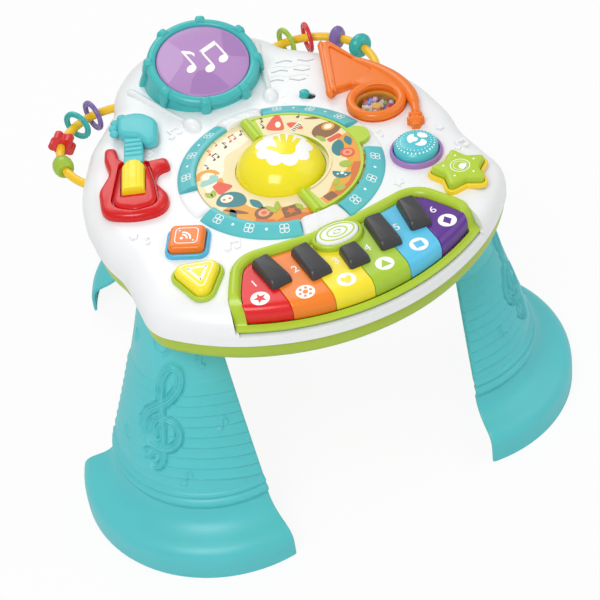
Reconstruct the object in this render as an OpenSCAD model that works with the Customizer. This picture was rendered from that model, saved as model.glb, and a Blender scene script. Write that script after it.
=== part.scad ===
// Musical activity table for toddlers: a round-shouldered play top on three C-section legs.
// Millimetres. +Z is up, the floor is z = 0, and the keyboard faces -Y.
// Everything on the play top is placed from the centre of the picture ring.

/* [Table body] */
// Height of the flat play surface above the floor
top_z = 324; // [312:1:336]
// Height of the white shell, from its lower edge to the play surface
shell_h = 35; // [33:1:38]
// Height of the lime tray below the white shell
tray_h = 24; // [22:1:28]
// Wall thickness of the moulded shells
wall = 2.6; // [2:0.1:3]
// How far the tray's side stands in from the white shell's side
tray_step = 3; // [2:0.5:5]

/* [Legs] */
// Distance from the middle of the leg circle to each leg's own centre
leg_circle_r = 168; // [165:1:171]
// Angle from the front direction to each front leg
leg_spread = 55; // [54:1:57]
// Angle by which the back leg stands off the middle line, to the guitar's side
leg_back_turn = 8; // [0:1:8]
// Distance from the picture ring's centre back to the middle of the leg circle
leg_back_set = 44; // [41:1:47]
// Half of the angle that each C-section covers
leg_half_angle = 62; // [60:0.5:63]
// Half of the angle that the plug at a leg's top covers
plug_half_angle = 50; // [48:1:52]
// Outer radius of a leg where it meets the tray
leg_top_r = 50; // [48:1:51]
// Outer radius of a leg at the ankle
ankle_r = 106; // [102:1:109]
// Outer radius of the foot on the floor
foot_r = 149; // [146:1:153]
// Height of the ankle above the floor
ankle_z = 62; // [58:1:66]
// Wall thickness of a leg
leg_wall = 3.4; // [3:0.2:4]
// Height of the plug that a leg pushes up into the tray
plug_h = 16; // [13:1:17]
// Gap around a leg's plug in the tray's socket
plug_gap = 0.3; // [0.2:0.05:0.4]

/* [Picture ring and page] */
// Outer radius of the teal ring
ring_r = 106; // [104:1:108]
// Inner radius of the teal ring
ring_in_r = 87; // [86.5:0.5:88]
// Gap between the turning page and the ring around it
page_clear = 2.5; // [2:0.5:4]
// Thickness of the turning page
page_t = 4.6; // [4:0.2:5]
// Radius of the page's hinge barrels
barrel_r = 5; // [4.5:0.25:5.5]
// Gap between the page and what it lies on
page_gap = 0.4; // [0.3:0.1:0.6]
// Radius of the yellow dome button
dome_r = 46; // [44:0.5:46.5]
// Height of the dome above its rim
dome_h = 28; // [26:1:30]

/* [Keyboard] */
// Width of one key, gap included
key_pitch = 40; // [38:1:41]
// Gap between neighbouring keys
key_gap = 0.8; // [0.6:0.1:1.2]
// Radius of the curved front of the keys
key_front_r = 238; // [236:1:239]
// How far the keys stand up from their lowest edge
key_h = 18; // [16:1:19]
// Width of a black key at its front
black_w = 23; // [20:1:25]
// Height of a black key above the coloured keys
black_h = 9; // [7:1:11]

/* [Drum] */
// Radius of the drum's head
drum_head_r = 50; // [48:0.5:52]
// Angle by which the drum leans to the front
drum_tilt = 14; // [12:1:16]
// Height of the head's centre above the play surface
drum_h = 26; // [24:1:28]
// Number of lugs around the drum
lug_count = 8; // [6:1:10]

/* [Rails and beads] */
// Radius of a rail's tube
rail_tube_r = 4.6; // [4.2:0.1:4.8]
// Radius of the arc that a rail follows
rail_arc_r = 70; // [68:1:72]
// Gap between a bead's hole and the rail
bead_gap = 0.5; // [0.4:0.1:0.8]

/* [Fits] */
// Running gap between a pressed piece and its collar
press_gap = 0.5; // [0.4:0.1:0.7]
// How far a button goes down
press_travel = 3; // [2:0.5:3]
// Radial clearance of a pin in its bore
pin_gap = 0.08; // [0.05:0.01:0.1]
// Gap between two fixed pieces that stand against each other
seat_gap = 0.4; // [0.3:0.1:0.6]

/* [Hidden] */
$fn = 64;
tiny = 0.01;
key_count = 6;
page_r = ring_in_r - page_clear;

// Heights of the joints between the shells
shell_z = top_z - shell_h;
tray_z = shell_z - tray_h;
// The frame's origin is midway between the front edge and the back foot
body_front = 211;
front_reach = max(leg_circle_r * cos(leg_spread) - leg_back_set + foot_r, body_front);
back_reach = leg_back_set + leg_circle_r * cos(leg_back_turn) + foot_r;
ring_y = (front_reach - back_reach) / 2;
leg_y = ring_y + leg_back_set;

lime = "#A9C832";
teal = "#5BC3C8";
white = "#F7F7F7";

// ---------------------------------------------------------------- outlines
function unit(v) = v / norm(v);
function left_of(v) = [-v.y, v.x];
function turned(v, a) = [v.x * cos(a) - v.y * sin(a), v.x * sin(a) + v.y * cos(a)];
function spot(c) = [c.x, c.y];
function way_in(c, i) = unit(spot(c[i]) - spot(c[(i + len(c) - 1) % len(c)]));
function way_out(c, i) = unit(spot(c[(i + 1) % len(c)]) - spot(c[i]));
function bend(u, v) = atan2(u.x * v.y - u.y * v.x, u * v);

// An outline is a list of corners [x, y, radius], counter-clockwise.
// inset() moves every side inwards by d and keeps the corners concentric.
function inset(c, d) = [
    for (i = [0:len(c) - 1])
        let (u = way_in(c, i), v = way_out(c, i), a = left_of(u), b = left_of(v),
             p = spot(c[i]) + d * (a + b) / (1 + a * b))
            [p.x, p.y, max(c[i][2] - d * sign(bend(u, v)), 0.4)]
];

// Points along an outline, with each corner as an arc in a few steps
function arcs(c, steps = 4) = [
    for (i = [0:len(c) - 1])
        let (u = way_in(c, i), v = way_out(c, i), turn = bend(u, v), r = c[i][2],
             side = left_of(u) * sign(turn) * r,
             middle = spot(c[i]) - u * r * tan(abs(turn) / 2) + side)
            for (k = [0:steps]) middle + turned(-side, turn * k / steps)
];

// Adds the mirror image of a half outline that runs from the front to the back
function mirrored(half) = concat(half, [
    for (i = [len(half) - 1:-1:0]) if (half[i].x > 0) [-half[i].x, half[i].y, half[i][2]]
]);

function ellipse(a, b, n = 40) = [for (k = [0:n - 1]) [a * cos(360 * k / n), b * sin(360 * k / n)]];

// A solid through outlines at rising heights: sections = [[z, points], ...]
module loft(sections) {
    n = len(sections[0][1]);
    m = len(sections);
    polyhedron(
        points = [for (s = sections) for (p = s[1]) [p.x, p.y, s[0]]],
        faces = concat(
            [[for (i = [0:n - 1]) i], [for (i = [n - 1:-1:0]) (m - 1) * n + i]],
            [for (j = [0:m - 2]) for (i = [0:n - 1])
                let (a = j * n + i, b = j * n + (i + 1) % n) [a, a + n, b + n]],
            [for (j = [0:m - 2]) for (i = [0:n - 1])
                let (a = j * n + i, b = j * n + (i + 1) % n) [a, b + n, b]]
        )
    );
}

// A cap with a rounded top edge: steps of a quarter circle of radius r
module rounded_cap(c, h, r, steps = 4) {
    loft(concat([[0, arcs(c)]], [
        for (k = [0:steps])
            let (a = 90 * k / steps) [h - r + r * sin(a), arcs(inset(c, r - r * cos(a)))]
    ]));
}

module on_top() {
    translate([0, ring_y, 0]) children();
}

// Outline of the white shell: hips at the front legs, a straight side behind
// each rail, and a round lobe around the drum
body_half = [
    [53, -body_front, 240], [150, -168, 228], [199, -113, 45], [192, -33, 90], [199, 0, 120],
    [196, 80, 160], [153, 153, 70], [105, 203, 14], [94, 234, 92], [54, 274, 92], [0, 288, 92]
];
body_outline = mirrored(body_half);

// Height and inset of the white shell's soft rim
rim = [[0, 0], [14, 0.6], [22, 3], [28, 8], [32, 14.5], [34.2, 22], [35, 30]];

module body_solid(gap, low) {
    loft(concat([[shell_z - low, arcs(inset(body_outline, gap))]], [
        for (s = rim) [shell_z + s[0] * shell_h / 35 - (s[0] > 30 ? gap * (s[0] - 30) / 5 : 0),
                       arcs(inset(body_outline, gap + s[1]))]
    ]));
}

// ---------------------------------------------------------------- shells
post_spots = [[178, 15], [146, 118], [72, 222], [62, -86]];
post_r = 4.5;
screw_r = 1.5;
screw_head_r = 3;
post_split_z = tray_z + 30;

module at_posts() {
    for (p = post_spots) for (s = [-1, 1]) translate([s * p.x, p.y, 0]) children();
}

// Places of the buttons, from the ring's centre
square_spot = [-127, -52];
square_turn = -30;
triangle_spot = [-139, -105];
round_spot = [128, -52];
star_spot = [147, -107];
star_turn = 5;
mode_spot = [0, -124];
mode_size = [22, 14.5];
mode_bead = [26.6, 19.1];
switch_spot = [79, 96];
switch_turn = -42;
grille_spot = [84, 146];
grille_turn = -28;
drum_spot = [0, 184];
horn_ring_spot = [133, 42];
guitar_turn = -23;
guitar_spot = [-136, 62];

hole_r = 11;

module grille_slots() {
    for (row = [0:2], half = [-1, 1])
        translate([row * 4 - 4, row * 17 - 17, 0])
            linear_extrude(shell_h)
                polygon(concat(
                    [for (k = [0:8]) [half * 12 - 9 + k * 2.25, 1.6 * sin(k * 38 + 90 * half)]],
                    [for (k = [8:-1:0]) [half * 12 - 9 + k * 2.25, 2.4 + 1.6 * sin(k * 38 + 90 * half)]]
                ));
}

// A drumstick in relief, turned about its own length along +Y from its bulb
stick_l = 82;
module drumstick(extra) {
    rotate([-90, 0, 0])
        rotate_extrude()
            polygon(concat(
                [[0, -12 - extra]],
                [for (a = [-75:15:60]) [(8.6 + extra) * cos(a), (12 + extra) * sin(a)]],
                [[3.2 + extra, 16], [4.6 + extra, 16 + stick_l], [3.4 + extra, 20 + stick_l],
                 [0, 20.6 + stick_l + extra]]
            ));
}

// The pair lies beside the drum, whose foot is notched where they pass under it
module drumsticks(extra = 0) {
    for (s = [-1, 1]) translate([s * 46, 118, top_z - 1]) rotate(s > 0 ? -17 : 19) drumstick(extra);
}

bridge_half = [14, 14, 12, 14];
module bridge(k) {
    // White saddle between two teal arcs; the two in line with the hinge stand higher
    high = k % 2 == 1 ? 10.5 : 2.8;
    rotate(90 * k - bridge_half[k])
        rotate_extrude(angle = 2 * bridge_half[k])
            polygon([[ring_in_r, 0], [ring_in_r, high - 1], [ring_in_r + 1, high],
                     [ring_in_r + 6, high - 0.4], [ring_r - 2, 1.6], [ring_r + 1, 0]]);
}

pin_r = 2;
disc_t = 3.2;
page_axis_z = top_z + disc_t + page_gap + page_t / 2;

module pin_bores(r) {
    for (s = [-1, 1])
        translate([0, s * (ring_in_r + 3), page_axis_z]) rotate([90, 0, 0])
            cylinder(r = r, h = 9, center = true);
}

module top_shell() {
    color(white) on_top() {
        difference() {
            union() {
                difference() {
                    body_solid(0, 0);
                    body_solid(wall, 1);
                }
                at_posts() translate([0, 0, post_split_z]) cylinder(r = post_r, h = top_z - post_split_z - wall + 0.5);
                intersection() {
                    drumsticks();
                    translate([-150, 60, top_z - 1]) cube([300, 200, 20]);
                }
                translate([0, 0, top_z - 0.5])
                    for (k = [0:3]) bridge(k);
            }
            at_posts() translate([0, 0, post_split_z - 1]) cylinder(r = screw_r, h = 16);
            cylinder(r = dome_r + press_gap + 2.6, h = top_z + 20);
            // keyboard well, open at the front above the low strip
            translate([0, 0, key_floor_z]) linear_extrude(60)
                polygon(arcs(inset(keybed_outline, -frame_w + 3)));
            translate([0, 0, key_floor_z + 3.4]) intersection() {
                linear_extrude(60) polygon(arcs(inset(keybed_outline, -frame_w - 0.3)));
                translate([-200, -260, 0]) cube([400, 126, 60]);
            }
            // the mode button's bead stands in a notch at the back of the well
            translate([mode_spot.x, mode_spot.y, key_floor_z]) linear_extrude(60)
                polygon(ellipse(mode_bead.x + seat_gap, mode_bead.y + seat_gap));
            translate([square_spot.x, square_spot.y, tray_z]) cylinder(r = hole_r, h = 90);
            translate([triangle_spot.x, triangle_spot.y, tray_z]) cylinder(r = hole_r, h = 90);
            translate([round_spot.x, round_spot.y, tray_z]) cylinder(r = hole_r, h = 90);
            translate([star_spot.x, star_spot.y, tray_z]) cylinder(r = hole_r, h = 90);
            translate([drum_spot.x, drum_spot.y + 4, top_z - 10]) cylinder(r = 40, h = 20);
            translate([horn_ring_spot.x, horn_ring_spot.y, tray_z]) cylinder(r = cup_r + 0.4, h = 90);
            // slot for the guitar's slide and window for the power switch
            translate([guitar_spot.x, guitar_spot.y, top_z - 10]) rotate(guitar_turn)
                translate([-5, -14 - slide_travel, 0]) cube([10, 36 + slide_travel, 20]);
            translate([switch_spot.x, switch_spot.y, top_z - 10]) rotate(switch_turn)
                linear_extrude(20) polygon(arcs([for (c = [[-1, -1], [1, -1], [1, 1], [-1, 1]])
                    [c.x * window_half, c.y * 5, 4.9]]));
            translate([grille_spot.x, grille_spot.y, top_z - 10]) rotate(grille_turn) grille_slots();
            for (p = lamp_spots) translate([p.x, p.y, top_z - 10]) cylinder(r = 1.9, h = 20);
            pin_bores(pin_r + pin_gap);
            rail_bores();
        }
    }
}

lamp_spots = [[56, 108], [52, 96]];

tray_rim = [[0, 13], [2.5, 7.5], [6, 4], [12, 2.6]];
module tray_solid(gap, z) {
    loft(concat(
        [for (s = tray_rim) [z + s[0], arcs(inset(body_outline, s[1] + gap))]],
        [[shell_z + (gap > 0 ? 1 : 0), arcs(inset(body_outline, tray_step + gap))]]
    ));
}

battery_l = 48;
battery_w = 52;
battery_spot = [0, 60];
cell_r = 7.2;
cell_pitch = 15.4;
cell_row_y = battery_spot.y + 5;
cover_screw_y = battery_spot.y - 24;

module battery_slot(extra, h) {
    translate([battery_spot.x, battery_spot.y, 0])
        linear_extrude(h)
            polygon(arcs([for (c = [[-1, -1], [1, -1], [1, 1], [-1, 1]])
                [c.x * (battery_l / 2 + 3 + extra), c.y * (battery_w / 2 + 3 + extra), 4]]));
}

module bottom_tray() {
    color("#A2BF33") on_top() {
        difference() {
            union() {
                difference() {
                    tray_solid(0, tray_z);
                    tray_solid(wall, tray_z + wall);
                }
                at_posts() translate([0, 0, tray_z + 1]) cylinder(r = post_r, h = post_split_z - tray_z - 1);
                // battery box standing on the floor
                translate([0, 0, tray_z]) battery_slot(wall, 20);
                // pillars under the buttons' switches
                for (p = pillar_spots) translate([p.x, p.y, tray_z + 1]) cylinder(r = 5, h = p[2] - tray_z - 1);
                translate([board_spot.x, board_spot.y, tray_z + 1])
                    for (c = [[-1, -1], [1, -1], [1, 1], [-1, 1]])
                        translate([c.x * (board_w / 2 - 5), c.y * (board_d / 2 - 5), 0])
                            cylinder(r = 3.5, h = board_z - tray_z - 1);
                // sleeves that hold the legs' plugs
                on_legs() leg_ring(plug_r() + plug_gap + 2.4, plug_r() - leg_wall - plug_gap - 2.4,
                                   tray_z + 1, tray_z + plug_h + 1.5, plug_half_angle + 7);
            }
            at_posts() translate([0, 0, tray_z - 1]) {
                cylinder(r = screw_r + 0.3, h = 60);
                cylinder(r = screw_head_r + 0.5, h = 15);
            }
            difference() {
                translate([0, 0, tray_z - 1]) battery_slot(0, 19.4);
                translate([battery_spot.x, cover_screw_y, tray_z + wall + 0.3]) cylinder(r = 4, h = 20);
            }
            translate([battery_spot.x, cover_screw_y, tray_z]) cylinder(r = screw_r, h = 14);
            on_legs() leg_ring(plug_r() + plug_gap, plug_r() - leg_wall - plug_gap,
                               tray_z - 1, tray_z + plug_h + 0.4, plug_half_angle + 0.4);
            // sound holes below the speaker
            for (a = [0:60:300]) translate([grille_spot.x + 14 * cos(a), grille_spot.y + 14 * sin(a), tray_z - 1])
                cylinder(r = 2.5, h = 6);
        }
    }
}

// ---------------------------------------------------------------- legs
function plug_r() = leg_top_r - leg_wall - 1.2;

leg_azimuths = [-90 - leg_spread, -90 + leg_spread, 90 + leg_back_turn];
module on_legs() {
    translate([0, leg_back_set, 0])
        for (a = leg_azimuths) rotate(a) translate([leg_circle_r, 0, 0]) children();
}

module leg_ring(outer, inner, low, high, half) {
    rotate(-half) rotate_extrude(angle = 2 * half)
        polygon([[inner, low], [outer, low], [outer, high], [inner, high]]);
}

// The outside of a leg, from the floor up: a tall sole, a round shoulder, a hollow
// sweep up to the ankle bead, then a straight taper to the tray
sole_z = 20;
bead = 3;
function leg_profile(shrink) = concat(
    [[foot_r - shrink, -1 + (shrink > 0 ? -1 : 1)]],
    [for (a = [0:15:75]) [foot_r - 22 + 22 * cos(a) - shrink, sole_z + 16 * sin(a) - shrink * sin(a) * 0.8]],
    [for (a = [80:-16:0]) [ankle_r + (foot_r - ankle_r - 19) * (1 - cos(a)) - shrink, ankle_z - 24 * sin(a) + 2]],
    shrink > 0 ? [] : [for (a = [-60:30:60]) [ankle_r + bead * cos(a), ankle_z + 6 + 4.4 * sin(a)]],
    [[ankle_r - 1 - shrink, ankle_z + 14], [leg_top_r - shrink, tray_z]]
);

module leg_shell() {
    difference() {
        rotate(-leg_half_angle) rotate_extrude(angle = 2 * leg_half_angle)
            polygon(concat(leg_profile(0), [[30, tray_z], [30, 0]]));
        rotate(-leg_half_angle - 10) rotate_extrude(angle = 2 * leg_half_angle + 20)
            polygon(concat(leg_profile(leg_wall), [[leg_top_r - leg_wall, tray_z + 1], [20, tray_z + 1], [20, -2]]));
    }
    // rim that stiffens the sole's inner edge, and two ribs across the channel
    for (z = [ankle_z + 36, ankle_z + 100])
        intersection() {
            leg_ring(leg_r_at(z) - 1, leg_r_at(z) - 12, z, z + 2.4, leg_half_angle - 2);
            translate([20, -100, 0]) cube([120, 200, tray_z]);
        }
    // plug that pushes up into the tray
    leg_ring(plug_r(), plug_r() - leg_wall, tray_z - 12, tray_z + plug_h, plug_half_angle);
    leg_ring(leg_r_at(tray_z - 12) - leg_wall / 2, plug_r() - leg_wall, tray_z - 12, tray_z - 9, plug_half_angle);
    // oval release button of the leg's catch
    translate([leg_r_at(tray_z - 20) - 1.5, 0, tray_z - 20]) rotate([0, 90, 0])
        linear_extrude(3) polygon(ellipse(11, 8));
}

function leg_r_at(z) = leg_top_r + (ankle_r - 1 - leg_top_r) * (tray_z - z) / (tray_z - ankle_z - 14);

module leg(azimuth) {
    color(teal) translate([0, leg_y, 0]) rotate(azimuth) translate([leg_circle_r, 0, 0]) leg_shell();
}
module leg_front_left() leg(leg_azimuths[0]);
module leg_front_right() leg(leg_azimuths[1]);
module leg_back() leg(leg_azimuths[2]);

// ---------------------------------------------------------------- picture ring
arc_spans = [[14, 76], [104, 168], [194, 256], [284, 346]];

module ring_arcs() {
    color(teal) on_top() translate([0, 0, top_z])
        for (s = arc_spans)
            rotate(s[0] + 0.4) rotate_extrude(angle = s[1] - s[0] - 0.8)
                polygon([[ring_in_r, 0], [ring_in_r, 6.4], [ring_in_r + 1.4, 7.2], [ring_in_r + 5, 6.8],
                         [ring_r - 4, 3.4], [ring_r - 1, 1.8], [ring_r, 0]]);
}

module picture_disc() {
    color("#F3D58A") on_top() difference() {
        translate([0, 0, top_z]) cylinder(r = ring_in_r - 0.3, h = disc_t);
        translate([0, 0, top_z - 1]) cylinder(r = dome_r + press_gap, h = disc_t + 2);
        // channels below the hinge barrels
        for (s = [-1, 1])
            translate([0, s * (dome_r + ring_in_r) / 2, page_axis_z]) rotate([90, 0, 0])
                cylinder(r = barrel_r + page_gap, h = ring_in_r - dome_r + 2, center = true);
    }
}

tab_r = 14;
page_in_r = dome_r + 3.6;
module page_flap() {
    color(lime) on_top() {
        translate([0, 0, page_axis_z - page_t / 2]) difference() {
            union() {
                intersection() {
                    cylinder(r = page_r, h = page_t);
                    translate([0, -page_r, 0]) cube([page_r, 2 * page_r, page_t]);
                }
                translate([page_r + 2, 0, 0]) cylinder(r = tab_r, h = page_t);
            }
            translate([0, 0, -1]) cylinder(r = page_in_r, h = page_t + 2);
            // the picture panels lie a little below the page's rim
            for (z = [-1, page_t - 0.8])
                translate([0, 0, z]) difference() {
                    intersection() {
                        cylinder(r = page_r - 2.6, h = 1.8);
                        translate([barrel_r + 1, -page_r, 0]) cube([page_r, 2 * page_r, 2]);
                    }
                    translate([0, 0, -1]) cylinder(r = page_in_r + 2, h = 4);
                }
        }
        for (s = [-1, 1])
            translate([0, s * (page_in_r + 0.6 + page_r) / 2, page_axis_z]) rotate([90, 0, 0]) {
                cylinder(r = barrel_r, h = page_r - page_in_r - 0.6, center = true);
                translate([0, 0, -s * 4]) cylinder(r = pin_r, h = page_r - page_in_r + 3.4, center = true);
            }
    }
}

dome_z = top_z + disc_t - 1;
module dome_button() {
    cap_r = (dome_r * dome_r + dome_h * dome_h) / (2 * dome_h);
    color("#F7E92C") on_top() {
        difference() {
            union() {
                intersection() {
                    translate([0, 0, dome_z + dome_h - cap_r]) sphere(r = cap_r);
                    translate([0, 0, dome_z]) cylinder(r = dome_r, h = dome_h + 1);
                }
                translate([0, 0, top_z - 9]) cylinder(r = dome_r, h = dome_z - top_z + 9 + tiny);
            }
            translate([0, 0, top_z - 10]) cylinder(r = dome_r - wall, h = 10);
            intersection() {
                translate([0, 0, dome_z + dome_h - cap_r]) sphere(r = cap_r - wall);
                translate([0, 0, top_z - tiny]) cylinder(r = dome_r - wall, h = dome_h);
            }
        }
        translate([0, 0, board_z + 11 + press_travel]) cylinder(r = 6, h = dome_z + dome_h - wall / 2 - board_z - 11 - press_travel);
    }
}

// ---------------------------------------------------------------- drum
// The drum's own frame has its origin at the head's centre and leans to the front
module on_drum() {
    translate([drum_spot.x, drum_spot.y, top_z + drum_h]) rotate([drum_tilt, 0, 0]) children();
}

drum_wall = 5.2;
module drum_shell() {
    color("#45BDB9") on_top() difference() {
        on_drum() {
            rotate_extrude()
                polygon([[drum_head_r - 4, -60], [69, -60], [67, -40], [62.5, -22], [59.5, -10], [58.6, -6],
                         [60.2, -4], [60.6, -1], [59, 1.6], [56.5, 2.6], [53.5, 2.2], [52, 0.6],
                         [drum_head_r + press_gap, 0.6], [drum_head_r + press_gap, -6], [drum_head_r - 4, -6]]);
            for (k = [0:lug_count - 1])
                rotate((k + 0.5) * 360 / lug_count) drum_lug();
        }
        translate([-100, 60, top_z - 100]) cube([200, 260, 100]);
        drumsticks(seat_gap);
    }
}

// A lug is a slice of a profile turned about the drum's own axis
module drum_lug() {
    rotate(-4) rotate_extrude(angle = 8)
        polygon([[56, -62], [74, -62], [71, -40], [66, -22], [64.2, -12], [65, -9], [64.6, 1],
                 [62.4, 4.2], [58.2, 4.2], [56, 1.8]]);
}

module drum_head() {
    color("#B48CC4") on_top() on_drum() {
        translate([0, 0, -2.2]) cylinder(r1 = drum_head_r, r2 = drum_head_r - 0.2, h = 1.8);
        translate([0, 0, -0.4 - tiny]) cylinder(r1 = drum_head_r - 0.2, r2 = drum_head_r - 1.6, h = 1);
        difference() {
            translate([0, 0, -9]) cylinder(r = drum_head_r - 4.6, h = 7);
            translate([0, 0, -10]) cylinder(r = drum_head_r - 6.8, h = 9);
        }
        translate([0, 0, -24]) cylinder(r = 5, h = 23);
    }
}

// ---------------------------------------------------------------- guitar
// Guitar outline from its own middle, with the neck along +Y
guitar_outline = [
    [-29, -52, 24], [10, -56, 24], [34, -28, 22], [19, -4, 22], [24, 16, 12], [38, 26, 6],
    [34, 42, 5], [14, 37, 6], [8, 33, 2], [-8, 33, 2], [-16, 44, 8], [-20, 60, 4.5], [-33, 58, 4.5],
    [-30, 40, 24], [-27, 22, 30], [-40, -4, 30]
];
guitar_h = 8;
slide_travel = 8;
saddle_w = 25;

module in_guitar() {
    translate([guitar_spot.x, guitar_spot.y, top_z]) rotate(guitar_turn) children();
}

recess_outline = [[-17, -42, 12], [13, -42, 12], [15, -10, 14], [14, 30, 12], [-14, 30, 12], [-17, -10, 14]];

module guitar_body() {
    color("#E0181C") on_top() in_guitar() difference() {
        linear_extrude(guitar_h) polygon(arcs(guitar_outline));
        translate([0, 0, guitar_h - 4]) linear_extrude(8) polygon(arcs(recess_outline));
        translate([-neck_w / 2 - press_gap, 10, guitar_h - 4]) cube([neck_w + 2 * press_gap, 60, 8]);
        translate([-5, -16 - slide_travel, -1]) cube([10, 40 + slide_travel, 20]);
    }
}

neck_w = 20;
module guitar_saddle() {
    color("#F9E32B") on_top() in_guitar() translate([0, 0, guitar_h - 4 + 0.3])
        rounded_cap([[-saddle_w / 2, -20, 2], [saddle_w / 2, -20, 2], [saddle_w / 2, 26, 11],
                     [-saddle_w / 2, 26, 11]], 10, 2, 3);
    color("#F9E32B") on_top() in_guitar() translate([-3.6, -12, -8]) cube([7.2, 32, guitar_h + 4.5]);
}

head_outline = [[-18, 8, 8], [4, 0, 3], [14, -12, 6], [24, -6, 8], [24, 26, 18], [4, 46, 18], [-20, 36, 12]];
module guitar_neck() {
    color(teal) on_top() in_guitar() translate([0, 0, guitar_h - 4 + 0.3]) {
        difference() {
            translate([-neck_w / 2, 26.4, 0]) cube([neck_w, 46, 5.4]);
            for (k = [0:3]) translate([-neck_w, 40 + k * 7, 4.6]) cube([2 * neck_w, 1.6, 2]);
        }
        translate([0, 64, 0]) {
            linear_extrude(8.6) polygon(arcs(head_outline));
            for (p = [[-20, 12], [-22, 22], [-20, 32], [-13, 41], [-3, 46]])
                translate([p.x, p.y, 1]) cylinder(r = 5, h = 4);
        }
    }
}

// ---------------------------------------------------------------- horn
horn_h = 9;
horn_ring_r = 33;
horn_hole_r = 21;
cup_r = 23;
spin_r = 20;
bell_outline = [
    [-37, 33, 3], [-27, 38, 4], [-8, 37, 6], [4, 16, 6], [30, -8, 4], [37, 14, 30], [31, 42, 70], [17, 78, 70],
    [7, 121, 3.4], [-4, 121, 3.4]
];
tube_outline = [
    [18, -24, 3], [22, -38, 4], [9, -46, 2.4], [15, -51, 2.4], [11, -58, 2.4], [20, -63, 2.4], [24, -55, 2.4],
    [30, -52, 2.4], [27, -38, 5], [34, -12, 30], [36, 8, 3], [24, 6, 5]
];
lip_l = 104;
lip_w = 7;

module in_horn() {
    translate([horn_ring_spot.x, horn_ring_spot.y, top_z]) children();
}

module horn_body() {
    color("#F07C22") on_top() in_horn() difference() {
        union() {
            linear_extrude(horn_h) polygon(arcs(bell_outline));
            translate([-38, 29, 0]) rotate(-20) linear_extrude(horn_h + 2)
                polygon(arcs([[-lip_w / 2, 0, 3], [lip_w / 2, 0, 3], [lip_w / 2, lip_l, 3], [-lip_w / 2, lip_l, 3]]));
            linear_extrude(horn_h - 1.5) polygon(arcs(tube_outline));
            rotate_extrude() polygon(concat([[horn_hole_r, 0]], [
                for (a = [180:-20:0]) [(horn_ring_r + horn_hole_r) / 2 + (horn_ring_r - horn_hole_r) / 2 * cos(a),
                                       5 + 6 * sin(a)]], [[horn_ring_r, 0]]));
        }
        translate([0, 0, -1]) cylinder(r = horn_hole_r, h = 20);
    }
}

cup_z = -16;
axle_r = 2.4;
module horn_cup() {
    color("#C98A2E") on_top() in_horn() {
        difference() {
            translate([0, 0, cup_z - 2]) cylinder(r = cup_r, h = -cup_z + 2 - 0.1);
            translate([0, 0, cup_z]) cylinder(r = cup_r - 1.8, h = 40);
        }
        translate([0, 0, cup_z - 0.5]) cylinder(r = axle_r, h = 12);
    }
}

module spinner_dish() {
    color("#D9A03A") on_top() in_horn() translate([0, 0, cup_z + 0.4]) difference() {
        union() {
            cylinder(r = spin_r, h = 1.6);
            cylinder(r = axle_r + 2.4, h = 14);
        }
        translate([0, 0, -1]) cylinder(r = axle_r + pin_gap, h = 12.2);
    }
}

module spinner_paddles() {
    color("#F2E3C0") on_top() in_horn() translate([0, 0, cup_z + 2]) for (k = [0:2])
        rotate(25 + 120 * k) difference() {
            translate([axle_r + 2.4, -4.5, 0]) cube([11.5, 9, 10]);
            translate([10, 0, 12]) rotate([0, 90, 0]) cylinder(r = 5.6, h = 16, center = true);
        }
}

bead_r = 2.6;
module spinner_beads() {
    on_top() in_horn() translate([0, 0, cup_z + 2 + bead_r])
        for (k = [0:2], j = [0:1])
            rotate(25 + 120 * k + 44 + 32 * j) translate([14.4, 0, 0])
                color(["#4B3A8C", "#B02A6B", "#7FB8D8"][k]) sphere(r = bead_r);
}

module spinner_dome() {
    color("#DDEBF0", 0.35) on_top() in_horn() translate([0, 0, cup_z + 2]) difference() {
        union() {
            cylinder(r = spin_r, h = 13);
            intersection() {
                translate([0, 0, 13 - 26]) sphere(r = 32.8);
                translate([0, 0, 12.9]) cylinder(r = spin_r, h = 10);
            }
        }
        translate([0, 0, -1]) cylinder(r = spin_r - 1.4, h = 14);
        intersection() {
            translate([0, 0, 13 - 26]) sphere(r = 31.4);
            translate([0, 0, 12.8]) cylinder(r = spin_r - 1.4, h = 10);
        }
    }
}

// ---------------------------------------------------------------- keyboard
frame_w = 12;
key_top_z = top_z + 1;
key_floor_z = top_z - 24;
front_centre = 39;
keybed_outline = [
    [-140, -240, 4], [140, -240, 4], [116, -148, 70], [94, -108, 22], [24, -118, 30], [-24, -118, 30],
    [-94, -108, 22], [-116, -148, 70]
];

module front_disc(r) {
    translate([0, front_centre, 0]) circle(r = r, $fn = 180);
}

module keybed(gap, front) {
    intersection() {
        polygon(arcs(inset(keybed_outline, gap)));
        front_disc(front);
    }
}

frame_front = key_front_r + 8;
module keyboard_frame() {
    lip_z = key_floor_z + 5;
    color(lime) on_top() difference() {
        union() {
            // raised bead around the keys, falling to a low lip at the front
            intersection() {
                translate([0, 0, key_floor_z + 0.3])
                    loft([for (s = [[0, 4], [24, 4], [24.1, 0.2], [26, 0.2], [28.6, 2], [29.6, 5.5]])
                        [s[0], arcs(inset(keybed_outline, -frame_w + s[1]))]]);
                translate([0, front_centre, 0]) rotate_extrude($fn = 180)
                    polygon([[0, 0], [frame_front, 0], [frame_front, lip_z], [key_front_r + 2, lip_z + 1.4],
                             [key_front_r - 4, top_z - 3], [key_front_r - 12, top_z + 3],
                             [key_front_r - 22, top_z + 8], [0, top_z + 8]]);
            }
            // bead around the mode button
            translate([mode_spot.x, mode_spot.y, top_z - 6])
                loft([for (s = [[0, 0], [9, 0], [12, 1.2], [13, 3.4]]) [s[0], ellipse(mode_bead.x - s[1], mode_bead.y - s[1])]]);
        }
        // well for the keys
        translate([0, 0, key_floor_z + 2.4]) linear_extrude(60) keybed(0, key_front_r + 1.6);
        translate([mode_spot.x, mode_spot.y, top_z - 30]) linear_extrude(60) polygon(ellipse(mode_size.x + press_gap, mode_size.y + press_gap));
    }
}

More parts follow.
